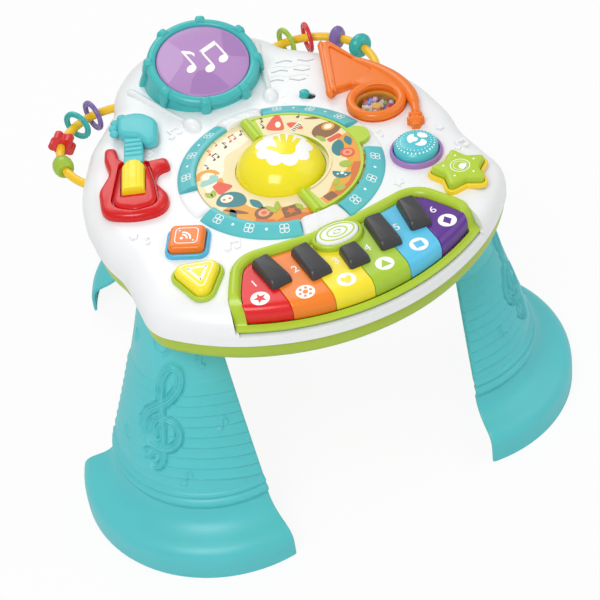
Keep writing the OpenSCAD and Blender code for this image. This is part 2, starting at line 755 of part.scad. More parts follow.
key_colors = ["#E41B1F", "#F58220", "#F9E32B", "#A9CB33", "#58C4E8", "#5F2D91"];
module key_body(k) {
    x0 = (k - key_count / 2) * key_pitch;
    module strip(gap, low) {
        intersection() {
            translate([0, front_centre, 0]) rotate_extrude($fn = 180)
                polygon(concat([[0, low]], [[key_front_r - gap, low]],
                    [for (a = [0:15:90]) [key_front_r - 7 + (7 - gap) * cos(a), key_top_z - 7 + (7 - gap) * sin(a)]],
                    [[0, key_top_z - gap]]));
            linear_extrude(top_z + 20) intersection() {
                keybed(key_gap + gap, key_front_r);
                translate([x0 + key_gap / 2 + gap, -260]) square([key_pitch - key_gap - 2 * gap, 200]);
            }
            // room for the mode button's bead above the hidden back of the keys
            difference() {
                translate([-300, -300, 0]) cube([600, 500, 400]);
                translate([mode_spot.x, mode_spot.y, low - 1]) linear_extrude(60)
                    polygon(ellipse(mode_bead.x + 0.8 + gap, mode_bead.y + 0.8 + gap));
            }
        }
    }
    color(key_colors[k]) on_top() {
        difference() {
            strip(0, key_top_z - key_h);
            strip(2.2, key_top_z - key_h - 1);
        }
        translate([x0 + key_pitch / 2, key_post_y, key_post_z]) cylinder(r = 3, h = key_top_z - key_post_z - 1.2);
    }
}
module key_1() key_body(0);
module key_2() key_body(1);
module key_3() key_body(2);
module key_4() key_body(3);
module key_5() key_body(4);
module key_6() key_body(5);

// Each black key runs back from its front end to the wall of the well
black_front = [-158, -168, -174, -168, -158];
black_l = 66;
module black_keys() {
    color("#3F3F41") on_top() for (k = [0:4])
        difference() {
            intersection() {
                translate([(k - 2) * (key_pitch - 2.5), black_front[k], key_top_z + 0.4]) rotate((2 - k) * 3)
                    rounded_cap([[-black_w / 2, 0, 5], [black_w / 2, 0, 5], [black_w / 2 - 3, black_l, 1.5],
                                 [-black_w / 2 + 3, black_l, 1.5]], black_h - 0.4, 2.4, 3);
                translate([0, 0, key_top_z]) linear_extrude(20) keybed(0.3, key_front_r);
            }
            translate([mode_spot.x, mode_spot.y, key_top_z - 1]) linear_extrude(20)
                polygon(ellipse(mode_bead.x + 0.3, mode_bead.y + 0.3));
        }
}

// Rubber contact pads on the floor of the well, one under each key's post
key_post_y = -152;
key_post_z = key_top_z - key_h + 3;
module key_contacts() {
    color("#4A4A4A") on_top() for (k = [0:key_count - 1])
        translate([(k - key_count / 2 + 0.5) * key_pitch, key_post_y, key_floor_z + 2.7])
            cylinder(r1 = 6, r2 = 4.4, h = key_post_z - key_floor_z - 2.7 - 2.4);
}

// ---------------------------------------------------------------- buttons
module ellipse_cap(a, b, h) {
    loft([for (s = [[0, 0], [h - 2, 0], [h - 0.7, 0.6], [h, 2.2]]) [s[0], ellipse(a - s[1], b - s[1])]]);
}

module stem(spot, from_z, to_z) {
    translate([spot.x, spot.y, from_z]) cylinder(r = 4, h = to_z - from_z);
}

module mode_button() {
    color(white) on_top() {
        translate([mode_spot.x, mode_spot.y, top_z - 4]) ellipse_cap(mode_size.x, mode_size.y, 12.5);
        stem(mode_spot, top_z - 16, top_z - 3);
    }
}

// Corner lists of the four shaped buttons, about their own centres
square_shape = [for (c = [[-1, -1], [1, -1], [1, 1], [-1, 1]]) [17.5 * c.x, 17.5 * c.y, 6]];
triangle_shape = [[-22.4, 24.5, 9], [-9.5, -37, 9], [29, 7, 9]];
star_shape = [for (k = [0:9]) let (r = k % 2 == 0 ? 31 : 18.5)
    [r * cos(36 * k), r * sin(36 * k), k % 2 == 0 ? 3.6 : 5]];
base_rim = 3.6;
base_h = 5;
cap_h = 12;

module shaped_base(shape, colour) {
    color(colour) difference() {
        loft([for (s = [[0, 0], [base_h - 1.6, 0.4], [base_h - 0.4, 1.2], [base_h, 2.4]])
            [s[0], arcs(inset(shape, s[1] - base_rim - press_gap))]]);
        translate([0, 0, 1.6]) linear_extrude(20) polygon(arcs(inset(shape, -press_gap)));
        translate([0, 0, -1]) cylinder(r = hole_r, h = 10);
    }
}

module shaped_button(shape, colour) {
    color(colour) {
        translate([0, 0, 1.6 + press_travel + 0.3]) rounded_cap(shape, cap_h - 1.6 - press_travel - 0.3, 3.2, 3);
        translate([0, 0, -12]) cylinder(r = 4, h = 20);
    }
}

module at_square() { on_top() translate([square_spot.x, square_spot.y, top_z]) rotate(square_turn) children(); }
module at_triangle() { on_top() translate([triangle_spot.x, triangle_spot.y, top_z]) children(); }
module at_round() { on_top() translate([round_spot.x, round_spot.y, top_z]) children(); }
module at_star() { on_top() translate([star_spot.x, star_spot.y, top_z]) rotate(star_turn) children(); }

module square_base() at_square() shaped_base(square_shape, "#4DB4E0");
module square_button() at_square() shaped_button(square_shape, "#F07C22");
module triangle_base() at_triangle() shaped_base(triangle_shape, lime);
module triangle_button() at_triangle() shaped_button(triangle_shape, "#F7E02B");
module star_base() at_star() shaped_base(star_shape, "#F8D22A");
module star_button() at_star() shaped_button(star_shape, lime);

round_r = 22.5;
module round_base() {
    color("#A77BBE") at_round() difference() {
        rotate_extrude() polygon([[0, 0], [27, 0], [26.6, 4], [25.4, 6], [0, 6]]);
        translate([0, 0, 1.6]) cylinder(r = round_r + press_gap, h = 10);
        translate([0, 0, -1]) cylinder(r = hole_r, h = 10);
    }
}
module round_button() {
    color("#4DC3D2") at_round() {
        translate([0, 0, 1.9 + press_travel]) rotate_extrude()
            polygon([[0, 0], [round_r, 0], [round_r, 6], [round_r - 0.8, 8], [round_r - 3, 9.4], [12, 10.6], [0, 11]]);
        translate([0, 0, -12]) cylinder(r = 4, h = 20);
    }
}

// The knob's foot is a plate below the shell, wider than its window
knob_l = 9.4;
knob_travel = 7;
window_half = (knob_l + knob_travel + 1.6) / 2;
module power_switch() {
    color("#2FB3AE") on_top() translate([switch_spot.x, switch_spot.y, top_z]) rotate(switch_turn) {
        translate([0.6 - window_half, 0, -wall - 0.3]) linear_extrude(8)
            polygon(arcs([[0, -4.4, 4.3], [knob_l, -4.4, 4.3], [knob_l, 4.4, 4.3], [0, 4.4, 4.3]]));
        translate([-12, -7.5, -wall - 2.3]) cube([17, 15, 2]);
    }
}

// ---------------------------------------------------------------- rails and beads
rail_centre = [112, 152];
rail_z = top_z - 19;
rail_from = -29;
rail_to = 99;

// Children are placed on the right side, or mirrored to the left
module rail_side(side) {
    on_top() translate([side * rail_centre.x, rail_centre.y, rail_z])
        mirror([side < 0 ? 1 : 0, 0, 0]) children();
}

module rail_arc(r, from, to) {
    rotate(from) rotate_extrude(angle = to - from) translate([rail_arc_r, 0]) circle(r = r);
}

module rail_bores() {
    for (side = [-1, 1]) translate([side * rail_centre.x, rail_centre.y, rail_z])
        mirror([side < 0 ? 1 : 0, 0, 0]) {
            rail_arc(rail_tube_r + 0.05, rail_from - 20, rail_from + 12);
            rail_arc(rail_tube_r + 0.05, rail_to - 12, rail_to + 16);
        }
}

module rail(side) {
    color("#F9C526") rail_side(side) rail_arc(rail_tube_r, rail_from - 6, rail_to + 4);
}
module left_rail() rail(-1);
module right_rail() rail(1);

// A bead is turned about the rail's tangent at the given angle along the rail
module bead(side, along, colour) {
    color(colour) rail_side(side) difference() {
        rotate(along) translate([rail_arc_r, 0, 0]) rotate([-90, 0, 0]) children();
        rail_arc(rail_tube_r + bead_gap, along - 14, along + 14);
    }
}

module flat_ring(r, t) {
    translate([0, 0, -t / 2]) rotate_extrude()
        polygon([[0, 0], [r - 1, 0], [r, 1], [r, t - 1], [r - 1, t], [0, t]]);
}

module barrel(r, l) {
    rotate_extrude() polygon([
        [0, -l / 2], [r * 0.72, -l / 2], [r * 0.9, -l / 3], [r, -l / 8], [r, l / 8], [r * 0.9, l / 3],
        [r * 0.72, l / 2], [0, l / 2]]);
}

bead_spots_left = [4, 36, 64, 82];
bead_spots_right = [88, 68, 40, 14];

module left_barrel_bead() bead(-1, bead_spots_left[0], lime) barrel(11, 20);
module left_flower_bead() bead(-1, bead_spots_left[1], "#D8262B")
    translate([0, 0, -5.5]) linear_extrude(11) union() {
        circle(r = 10.5);
        for (k = [0:4]) rotate(72 * k) translate([9.5, 0]) circle(r = 5);
    }
module left_teal_ring() bead(-1, bead_spots_left[2], "#2FB3AE") flat_ring(17, 4.4);
module left_purple_ring() bead(-1, bead_spots_left[3], "#8B6BAE") flat_ring(18, 4.4);
module right_lime_ring() bead(1, bead_spots_right[0], "#A2C13A") flat_ring(17, 5);
module right_red_ring() bead(1, bead_spots_right[1], "#D8262B") flat_ring(18, 5);
module right_barrel_bead() bead(1, bead_spots_right[2], "#8B6BAE") barrel(13.5, 12);
module right_cuff_bead() bead(1, bead_spots_right[3], "#2FB3AE") barrel(14, 14);

// ---------------------------------------------------------------- inside
board_w = 96;
board_d = 60;
board_t = 1.6;
board_spot = [0, -12];
board_z = tray_z + 8;
switch_h = 5;
stem_low = top_z - 12;
pillar_top = stem_low - press_travel - 0.4 - switch_h;
pillar_spots = [
    for (p = [square_spot, triangle_spot, round_spot, star_spot]) [p.x, p.y, pillar_top],
    [mode_spot.x, mode_spot.y, pillar_top - 4],
    [drum_spot.x, drum_spot.y + 6, top_z + drum_h - 24 - press_travel - switch_h - 2]
];

module circuit_board() {
    color("#2E7D4F") on_top() translate([board_spot.x - board_w / 2, board_spot.y - board_d / 2, board_z]) {
        cube([board_w, board_d, board_t]);
        translate([14, 12, board_t]) cube([14, 14, 2.4]);
        translate([70, 34, board_t]) cylinder(r = 5, h = 11);
    }
}

module button_switches() {
    color("#3A3A3A") on_top() {
        for (p = pillar_spots) translate([p.x, p.y, p[2]]) {
            translate([-3.5, -3.5, 0]) cube([7, 7, 3.6]);
            cylinder(r = 1.8, h = switch_h);
        }
        translate([-4, -4, board_z + board_t]) cube([8, 8, 6]);
    }
}

module lamps() {
    color("#F2F2F2") on_top() for (p = lamp_spots) translate([p.x, p.y, top_z - 9]) cylinder(r = 1.7, h = 8.6);
}

module speaker() {
    color("#55585C") on_top() translate([grille_spot.x, grille_spot.y, tray_z + wall]) {
        difference() {
            rotate_extrude() polygon([[0, 0], [14, 0], [14, 9], [20, 12], [27, 18], [28, 18], [28, 20], [0, 20]]);
            translate([0, 0, 15]) cylinder(r1 = 10, r2 = 25, h = 6);
        }
        translate([0, 0, 14]) sphere(r = 8);
    }
}

module battery_cells() {
    color("#4A4F57") on_top() for (k = [-1:1])
        translate([battery_spot.x - 25, cell_row_y + k * cell_pitch, tray_z + wall + cell_r + 0.4])
            rotate([0, 90, 0]) {
                cylinder(r = cell_r, h = 49);
                cylinder(r = 2.7, h = 50.5);
            }
}

module battery_contacts() {
    color("#C9CDD2") on_top() for (k = [-1:1], s = [-1, 1])
        translate([battery_spot.x + s * (battery_l / 2 + 2.3) - 0.4, cell_row_y + k * cell_pitch - 5, tray_z + wall + 1.5])
            cube([0.8, 10, 12]);
}

module battery_cover() {
    color("#A2BF33") on_top() difference() {
        translate([0, 0, tray_z]) battery_slot(-0.3, wall);
        translate([battery_spot.x, cover_screw_y, tray_z - 1]) cylinder(r = screw_r + 0.3, h = 9);
        translate([battery_spot.x, cover_screw_y, tray_z - 1]) cylinder(r = screw_head_r + 0.4, h = 2.4);
    }
}

module housing_screws() {
    color("#B9BDC2") on_top() {
        at_posts() {
            translate([0, 0, tray_z + 12.2]) cylinder(r = screw_head_r, h = 1.8);
            translate([0, 0, tray_z + 13]) cylinder(r = screw_r - 0.1, h = post_split_z - tray_z);
        }
        translate([battery_spot.x, cover_screw_y, tray_z]) {
            translate([0, 0, 0.2]) cylinder(r = screw_head_r, h = 1.1);
            translate([0, 0, 1]) cylinder(r = screw_r - 0.1, h = 10);
        }
    }
}

top_shell();
bottom_tray();
ring_arcs();
picture_disc();
page_flap();
dome_button();
drum_shell();
drum_head();
guitar_body();
guitar_neck();
guitar_saddle();
horn_body();
horn_cup();
spinner_dish();
spinner_paddles();
spinner_beads();
spinner_dome();
keyboard_frame();
key_1();
key_2();
key_3();
key_4();
key_5();
key_6();
black_keys();
key_contacts();
mode_button();
square_base();
square_button();
triangle_base();
triangle_button();
round_base();
round_button();
star_base();
star_button();
power_switch();
left_rail();
left_barrel_bead();
left_flower_bead();
left_teal_ring();
left_purple_ring();
right_rail();
right_lime_ring();
right_red_ring();
right_barrel_bead();
right_cuff_bead();
leg_front_left();
leg_front_right();
leg_back();
circuit_board();
button_switches();
lamps();
speaker();
battery_cells();
battery_contacts();
battery_cover();
housing_screws();
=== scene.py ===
from math import atan2, cos, hypot, pi, radians, sin, sqrt, tan
import bmesh
import bpy
import numpy as np
from mathutils import Matrix, Vector


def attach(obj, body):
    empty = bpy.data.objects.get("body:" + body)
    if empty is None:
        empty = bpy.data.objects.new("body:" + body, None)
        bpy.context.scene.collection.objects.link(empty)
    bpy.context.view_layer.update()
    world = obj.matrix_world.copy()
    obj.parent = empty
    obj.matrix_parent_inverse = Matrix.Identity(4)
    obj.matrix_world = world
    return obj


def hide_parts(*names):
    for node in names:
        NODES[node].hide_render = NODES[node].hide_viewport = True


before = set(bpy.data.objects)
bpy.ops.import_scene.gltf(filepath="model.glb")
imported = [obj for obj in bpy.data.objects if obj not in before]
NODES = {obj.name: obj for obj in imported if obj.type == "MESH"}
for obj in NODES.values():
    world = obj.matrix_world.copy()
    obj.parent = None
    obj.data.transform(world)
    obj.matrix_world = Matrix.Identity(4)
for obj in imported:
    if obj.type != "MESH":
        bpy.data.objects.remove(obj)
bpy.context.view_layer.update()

# Lengths are in mm and angles in degrees. x and y count from the centre of the picture ring, z from LIFT
# above the floor; place() and the mesh makers turn that into the frame's metres.
RING_Y = -74.1825       # the ring's centre in the frame
LIFT = 59.0
TOP = 265.0             # the play surface
SKY = 300               # above everything, where most cutters end
LEG_Y = RING_Y + 44     # the middle of the leg circle in the frame

# x, y, turn of what stands on the play surface
SPOTS = {"square": (-127, -52, -30), "triangle": (-139, -105, 0), "star": (147, -107, 5), "round": (128, -52, 0),
         "mode": (0, -124, 0), "guitar": (-136, 62, -23), "horn": (133, 42, 0), "switch": (79, 96, -42),
         "grille": (84, 146, -28)}
LAMPS = ((56, 108), (52, 96))


def link(name, data):
    o = bpy.data.objects.new(name, data)
    bpy.context.scene.collection.objects.link(o)
    return o


# ------------------------ camera
def camera():
    """The photo's view, solved from the outline of the table top."""
    x, y, z = -510.0, -1303.0, 1391.0
    yaw, pitch, roll = radians(-21.42), radians(43.06), radians(-7.85)
    focal_px, photo_px = 1770.0, 600
    ahead = Vector((-sin(yaw) * cos(pitch), cos(yaw) * cos(pitch), -sin(pitch)))
    level = Vector((cos(yaw), sin(yaw), 0))
    up = level.cross(ahead)
    cam = bpy.data.cameras.new("camera")
    cam.sensor_width = 36
    cam.lens = focal_px * 36 / photo_px
    cam.clip_end = 20
    m = Matrix((level * cos(roll) + up * sin(roll), -level * sin(roll) + up * cos(roll), -ahead))
    m = m.transposed().to_4x4()
    m.translation = Vector((x, y + RING_Y, z + LIFT)) / 1000
    o = link("camera", cam)
    o.matrix_world = m
    bpy.context.scene.camera = o


camera()


# ------------------------ materials
def rgb(h):
    c = [int(h[i:i + 2], 16) / 255 for i in (1, 3, 5)]
    return [((v + 0.055) / 1.055) ** 2.4 if v > 0.04045 else v / 12.92 for v in c] + [1.0]


def shade(c, k):
    return [min(1, v * k) for v in c[:3]] + [1.0]


def material(name):
    m = bpy.data.materials.new(name)
    m.use_nodes = True
    return m, m.node_tree


def add(t, kind, values={}):
    """A new shader node with values for its inputs, by name or number."""
    n = t.nodes.new("ShaderNode" + kind)
    for k, v in values.items():
        n.inputs[k].default_value = v
    return n


def wire(t, *pairs):
    for a, b in pairs:
        t.links.new(a, b)


def plastic(name, color, rough=0.3, vary=0.06):
    """Moulded plastic: faint cloudy colour, uneven gloss and a fine eggshell grain."""
    m, t = material(name)
    b = t.nodes["Principled BSDF"]
    b.inputs["IOR"].default_value = 1.5
    c = rgb(color)
    where = add(t, "TexCoord").outputs["Object"]
    cloud = add(t, "TexNoise", {"Scale": 14, "Detail": 3})
    fine = add(t, "TexNoise", {"Scale": 900, "Detail": 2})
    mix = add(t, "Mix", {6: shade(c, 1 - vary), 7: shade(c, 1 + vary)})
    mix.data_type = "RGBA"
    gloss = add(t, "MapRange", {3: rough - 0.05, 4: rough + 0.07})
    bump = add(t, "Bump", {"Strength": 0.5, "Distance": 0.00004})
    wire(t, (where, cloud.inputs["Vector"]), (where, fine.inputs["Vector"]),
         (cloud.outputs["Fac"], mix.inputs[0]), (mix.outputs[2], b.inputs["Base Color"]),
         (cloud.outputs["Fac"], gloss.inputs[0]), (gloss.outputs[0], b.inputs["Roughness"]),
         (fine.outputs["Fac"], bump.inputs["Height"]), (bump.outputs["Normal"], b.inputs["Normal"]))
    return m


def clear(name, color):
    """Thin clear plastic: light passes straight through and the surface keeps its gloss."""
    m, t = material(name)
    t.nodes.remove(t.nodes["Principled BSDF"])
    see = add(t, "BsdfTransparent", {"Color": rgb(color)})
    shine = add(t, "BsdfGlossy", {"Roughness": 0.06})
    rim = add(t, "LayerWeight", {"Blend": 0.25})
    share = add(t, "Math", {1: 0.14, 2: 0.02})
    share.operation = "MULTIPLY_ADD"
    noise = add(t, "TexNoise", {"Scale": 120})
    bump = add(t, "Bump", {"Strength": 0.3, "Distance": 0.0001})
    mix = add(t, "MixShader")
    wire(t, (add(t, "TexCoord").outputs["Object"], noise.inputs["Vector"]),
         (noise.outputs["Fac"], bump.inputs["Height"]), (bump.outputs["Normal"], shine.inputs["Normal"]),
         (rim.outputs["Facing"], share.inputs[0]), (share.outputs[0], mix.inputs[0]),
         (see.outputs[0], mix.inputs[1]), (shine.outputs[0], mix.inputs[2]),
         (mix.outputs[0], t.nodes["Material Output"].inputs[0]))
    return m


WHITE = plastic("white_plastic", "#F1F2F3", 0.3, 0.012)
TRAY = plastic("lime_tray_plastic", "#A9C335", 0.33)
TEAL = plastic("teal_leg_plastic", "#56C7CD", 0.36)
RING = plastic("teal_ring_plastic", "#5CC2C8", 0.32)
DRUM = plastic("teal_drum_plastic", "#43BABA", 0.28)
HEAD = plastic("purple_head_plastic", "#B48AC3", 0.3)
RED = plastic("red_plastic", "#D60509", 0.22, 0.05)
ORANGE = plastic("orange_plastic", "#F27B1E", 0.24, 0.05)
YELLOW = plastic("yellow_dome_plastic", "#F8E921", 0.16, 0.04)
SADDLE = plastic("yellow_saddle_plastic", "#F8E52A", 0.25)
RAIL = plastic("yellow_rail_plastic", "#F8C926", 0.25)
LIME = plastic("lime_plastic", "#B4D034", 0.28)
PAGE = plastic("lime_page_plastic", "#B6D433", 0.28)
BLUE = plastic("blue_base_plastic", "#4FB8E2", 0.28)
PURPLE = plastic("lilac_base_plastic", "#A679BD", 0.3)
TEAL_CAP = plastic("teal_button_plastic", "#52C4CF", 0.24)
YELLOW_CAP = plastic("yellow_button_plastic", "#F8E52E", 0.24)
YELLOW_BASE = plastic("yellow_base_plastic", "#F9D52B", 0.28)
BLACK = plastic("charcoal_key_plastic", "#3E3E40", 0.32, 0.05)
KNOB = plastic("knob_plastic", "#2DB2AC", 0.26)
PRINT = plastic("white_print", "#FDFDFB", 0.4, 0.01)
CREAM = plastic("cream_paddle_plastic", "#F1E3C3", 0.25, 0.04)
CUP = plastic("amber_cup_plastic", "#F2B548", 0.3)
# Near black for the key contacts and lamp lenses; as sheets in the switch and grille slots it is painted shade.
DARK = plastic("dark_slot", "#1E2A2A", 0.6, 0.1)
KEY_COLORS = [plastic("key_plastic_%d" % (k + 1), c, 0.24) for k, c in enumerate(
    ["#E3171B", "#F5831F", "#F9E52D", "#A9CC35", "#59C5EA", "#5F2D92"])]
BEADS = {k: plastic(k + "_bead", c, r) for k, c, r in (
    ("lime", "#A3C23A", 0.26), ("red", "#D8262B", 0.24), ("teal", "#2FB3AE", 0.26), ("purple", "#7E63A8", 0.26))}


# ------------------------ outlines
def corner(c, i):
    """A corner of an outline, and the directions in which its sides come and go."""
    p = Vector(c[i][:2])
    return p, (p - Vector(c[i - 1][:2])).normalized(), (Vector(c[(i + 1) % len(c)][:2]) - p).normalized()


def inset(c, d):
    """The outline c, of corners (x, y, radius), moved in by d."""
    out = []
    for i in range(len(c)):
        p, u, v = corner(c, i)
        a, b = Vector((-u.y, u.x)), Vector((-v.y, v.x))
        q = p + (a + b) * (d / (1 + a.dot(b)))
        s = 1 if u.x * v.y - u.y * v.x > 0 else -1
        out.append([q.x, q.y, max(c[i][2] - d * s, 0.4)])
    return out


def arcs(c, steps=8):
    """The outline c as points, with steps sides to each rounded corner."""
    pts = []
    for i in range(len(c)):
        p, u, v = corner(c, i)
        t = atan2(u.x * v.y - u.y * v.x, u.dot(v))
        s, r = (1 if t > 0 else -1), c[i][2]
        side = Vector((-u.y, u.x)) * s * r
        mid = p - u * r * tan(abs(t) / 2) + side
        for k in range(steps + 1):
            a = t * k / steps
            w = Vector((-side.x * cos(a) + side.y * sin(a), -side.x * sin(a) - side.y * cos(a)))
            pts.append((mid.x + w.x, mid.y + w.y))
    return pts


def rect(w, y0, y1, r, w1=None, r1=None):
    """Corners from y0 to y1: half width w and radius r at y0, w1 and r1 at y1."""
    w1, r1 = w1 or w, r1 or r
    return [[-w, y0, r], [w, y0, r], [w1, y1, r1], [-w1, y1, r1]]


def ellipse(a, b, n=48, x=0, y=0):
    return [(x + a * cos(2 * pi * k / n), y + b * sin(2 * pi * k / n)) for k in range(n)]


def arc(x, y, a, b, turns):
    """Points on an ellipse of half axes a and b about (x, y), at the angles of turns."""
    return [(x + a * cos(radians(q)), y + b * sin(radians(q))) for q in turns]


def catmull(p0, p1, p2, p3, k):
    """Catmull-Rom from p1 on towards p2, in k steps."""
    return [tuple(0.5 * (2 * b + (c - a) * t + (2 * a - 5 * b + 4 * c - d) * t * t
                         + (3 * b - a - 3 * c + d) * t ** 3) for a, b, c, d in zip(p0, p1, p2, p3))
            for t in (j / k for j in range(k))]


def smooth_line(pts, k=6):
    last = len(pts) - 1
    out = [p for i in range(last)
           for p in catmull(pts[max(i - 1, 0)], pts[i], pts[i + 1], pts[min(i + 2, last)], k)]
    return out + [tuple(pts[-1])]


def smooth_loop(pts, k=6):
    n = len(pts)
    return [p for i in range(n) for p in catmull(pts[i - 1], pts[i], pts[(i + 1) % n], pts[(i + 2) % n], k)]


def read_off(pts, x):
    """Height at x of the line through the points; level past its end."""
    for (a, b), (c, d) in zip(pts, pts[1:]):
        if x <= c:
            return b + (d - b) * (x - a) / (c - a)
    return pts[-1][1]


# ------------------------ mesh makers
def place(x=0, y=0, z=0, turn=0, tilt=0):
    return Matrix.Translation((x, y + RING_Y, z + LIFT)) @ Matrix.Rotation(radians(tilt), 4, "X") \
        @ Matrix.Rotation(radians(turn), 4, "Z")


def spot(name, z=0):
    x, y, turn = SPOTS[name]
    return place(x, y, z, turn)


def finish(name, me, mat, smooth, body, node=None):
    """Object of a mesh. Edges sharper than smooth stay sharp; None means flat faces."""
    me.materials.append(mat)
    me.polygons.foreach_set("use_smooth", [smooth is not None] * len(me.polygons))
    if smooth is not None:
        me.set_sharp_from_angle(angle=radians(smooth))
    o = link(name, me)
    if body:
        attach(o, body)
    if node:
        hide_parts(node)
    return o


def piece(name, verts, faces, mat, body="table", at=None, smooth=32, node=None):
    at = at or place()
    me = bpy.data.meshes.new(name)
    me.from_pydata([(at @ Vector(v)) / 1000 for v in verts], [], faces)
    bm = bmesh.new()
    bm.from_mesh(me)
    bmesh.ops.remove_doubles(bm, verts=bm.verts, dist=1e-6)
    bmesh.ops.recalc_face_normals(bm, faces=bm.faces)
    bm.to_mesh(me)
    bm.free()
    return finish(name, me, mat, smooth, body, node)


def skin(loops, low=True, high=True):
    """Points and faces of a form through closed loops of points, with end faces."""
    n = len(loops[0])
    v = [tuple(p) for loop in loops for p in loop]
    f = [(j * n + i, j * n + (i + 1) % n, (j + 1) * n + (i + 1) % n, (j + 1) * n + i)
         for j in range(len(loops) - 1) for i in range(n)]
    if low:
        f.append(tuple(reversed(range(n))))
    if high:
        f.append(tuple(range(len(v) - n, len(v))))
    return v, f


def loft_data(sections, low=True, high=True):
    """The same through sections of (height, outline)."""
    return skin([[(x, y, z) for x, y in outline] for z, outline in sections], low, high)


def loft(name, sections, mat, low=True, high=True, **kw):
    return piece(name, *loft_data(sections, low, high), mat, **kw)


def stack(c, n, prof, z0=0):
    """Sections of the outline c, one for each (height over z0, inset)."""
    return [(z0 + z, arcs(inset(c, d), n)) for z, d in prof]


def block(name, c, z0, z1, r, mat, steps=5, **kw):
    """Straight side, then a quarter-round top edge."""
    turns = [pi / 2 * k / steps for k in range(steps + 1)]
    return loft(name, [(z0, arcs(c))] + [(z1 - r + r * sin(a), arcs(inset(c, r - r * cos(a)))) for a in turns],
                mat, **kw)


def sheet(cols, m):
    """Faces of a sheet of cols strips between columns of m points."""
    return [(i * m + j, (i + 1) * m + j, (i + 1) * m + j + 1, i * m + j + 1)
            for i in range(cols) for j in range(m - 1)]


def gather(v, f, part):
    n = len(v)
    v += part[0]
    f += [tuple(i + n for i in q) for q in part[1]]


def revolve(name, prof, mat, n=72, **kw):
    v = [(r * cos(radians(360 * k / n)), r * sin(radians(360 * k / n)), z) for k in range(n) for r, z in prof]
    p = len(prof)
    f = []
    for k in range(n):
        a, b = k * p, (k + 1) % n * p
        f += [(a + i, b + i, b + i + 1, a + i + 1) for i in range(p - 1)]
    return piece(name, v, f, mat, **kw)


def ball(r, z=0, high=None):
    """Profile of a ball of radius r about the height z, or of a dome that is high tall."""
    return [(max(x, 0.01), y) for x, y in arc(0, z, r, high or r, range(-90, 91, 15))]


def tube(name, pts, r, mat, sides=10, **kw):
    """A round bar along 3-D points, with domed ends; r is a number or one per point."""
    P = [Vector(p) for p in pts]
    n = len(P)
    R = [r] * n if isinstance(r, (int, float)) else r
    rings = []
    for i in range(n):
        t = (P[min(i + 1, n - 1)] - P[max(i - 1, 0)]).normalized()
        side = t.cross(Vector((0, 0, 1)))
        side = side.normalized() if side.length > 1e-3 else Vector((1, 0, 0))
        up = side.cross(t)
        rings.append([P[i] + side * R[i] * cos(w) + up * R[i] * sin(w)
                      for w in (2 * pi * k / sides for k in range(sides))])
    v, f = skin(rings, low=False, high=False)
    for i, j, sgn in ((0, 0, -1), (n - 1, n - 2, 1)):
        t = (P[j + 1] - P[j]).normalized()
        f += [(i * sides + k, i * sides + (k + 1) % sides, len(v)) for k in range(sides)]
        v.append(tuple(P[i] + t * R[i] * 0.6 * sgn))
    return piece(name, v, f, mat, smooth=60, **kw)


def apply(o, sharp):
    bpy.context.view_layer.update()
    me = bpy.data.meshes.new_from_object(o.evaluated_get(bpy.context.evaluated_depsgraph_get()))
    o.modifiers.clear()
    o.data = me
    me.set_sharp_from_angle(angle=radians(sharp))


def cutter(sections, at=None):
    return piece("cutter", *loft_data(sections), DARK, at=at, body=None)


def punch(outline, z0, z1=SKY, at=None):
    return cutter([(z0, outline), (z1, outline)], at)


def cut(o, *cutters):
    for c in cutters:
        m = o.modifiers.new("cut", "BOOLEAN")
        m.operation = "DIFFERENCE"
        m.solver = "EXACT"
        m.object = c
    apply(o, 32)
    for c in cutters:
        bpy.data.objects.remove(c)


def decal(name, loops, mat, body="table", at=None, z=None, lift=0.15, cell=3.0, thick=0.25):
    """Thin layers: prints, and also painted shade and painted highlight. Each loop is an outline in plan; z(x, y)
    is the surface below it.
    """
    at = at or place()
    bm = bmesh.new()
    for loop in loops:
        bm.faces.new([bm.verts.new((p[0], p[1], 0)) for p in loop])
    if z:
        spans = [(min(q), max(q)) for q in zip(*[v.co[:2] for v in bm.verts])]
        for (lo, hi), no in zip(spans, ((1, 0, 0), (0, 1, 0))):
            k = lo + cell
            while k < hi:
                bmesh.ops.bisect_plane(bm, geom=bm.verts[:] + bm.edges[:] + bm.faces[:],
                                       plane_co=[k * q for q in no], plane_no=no)
                k += cell
    bmesh.ops.recalc_face_normals(bm, faces=bm.faces)
    for fc in bm.faces:
        if fc.normal.z < 0:
            fc.normal_flip()
    for v in bm.verts:
        v.co.z = (z(v.co.x, v.co.y) if z else 0) + lift
    low = bmesh.ops.extrude_face_region(bm, geom=bm.faces[:])
    for e in low["geom"]:
        if isinstance(e, bmesh.types.BMVert):
            e.co.z -= thick
    bmesh.ops.recalc_face_normals(bm, faces=bm.faces)
    for v in bm.verts:
        v.co = (at @ v.co) / 1000
    me = bpy.data.meshes.new(name)
    bm.to_mesh(me)
    bm.free()
    return finish(name, me, mat, 32 if z else None, body)


def ribbon(pts, w, close=False):
    """A line of width w as quads."""
    n = len(pts)
    left, right = [], []
    for i, p in enumerate(pts):
        a = Vector(pts[(i - 1) % n] if close or i else p)
        b = Vector(pts[(i + 1) % n] if close or i < n - 1 else p)
        t = (b - a).normalized()
        s = Vector((-t.y, t.x)) * w / 2
        left.append(tuple(Vector(p) + s))
        right.append(tuple(Vector(p) - s))
    return [[right[i], right[(i + 1) % n], left[(i + 1) % n], left[i]] for i in range(n if close else n - 1)]


def moved(loops, x, y, turn=0, k=1.0):
    c, s = cos(radians(turn)), sin(radians(turn))
    return [[(x + k * (p[0] * c - p[1] * s), y + k * (p[0] * s + p[1] * c)) for p in lp] for lp in loops]


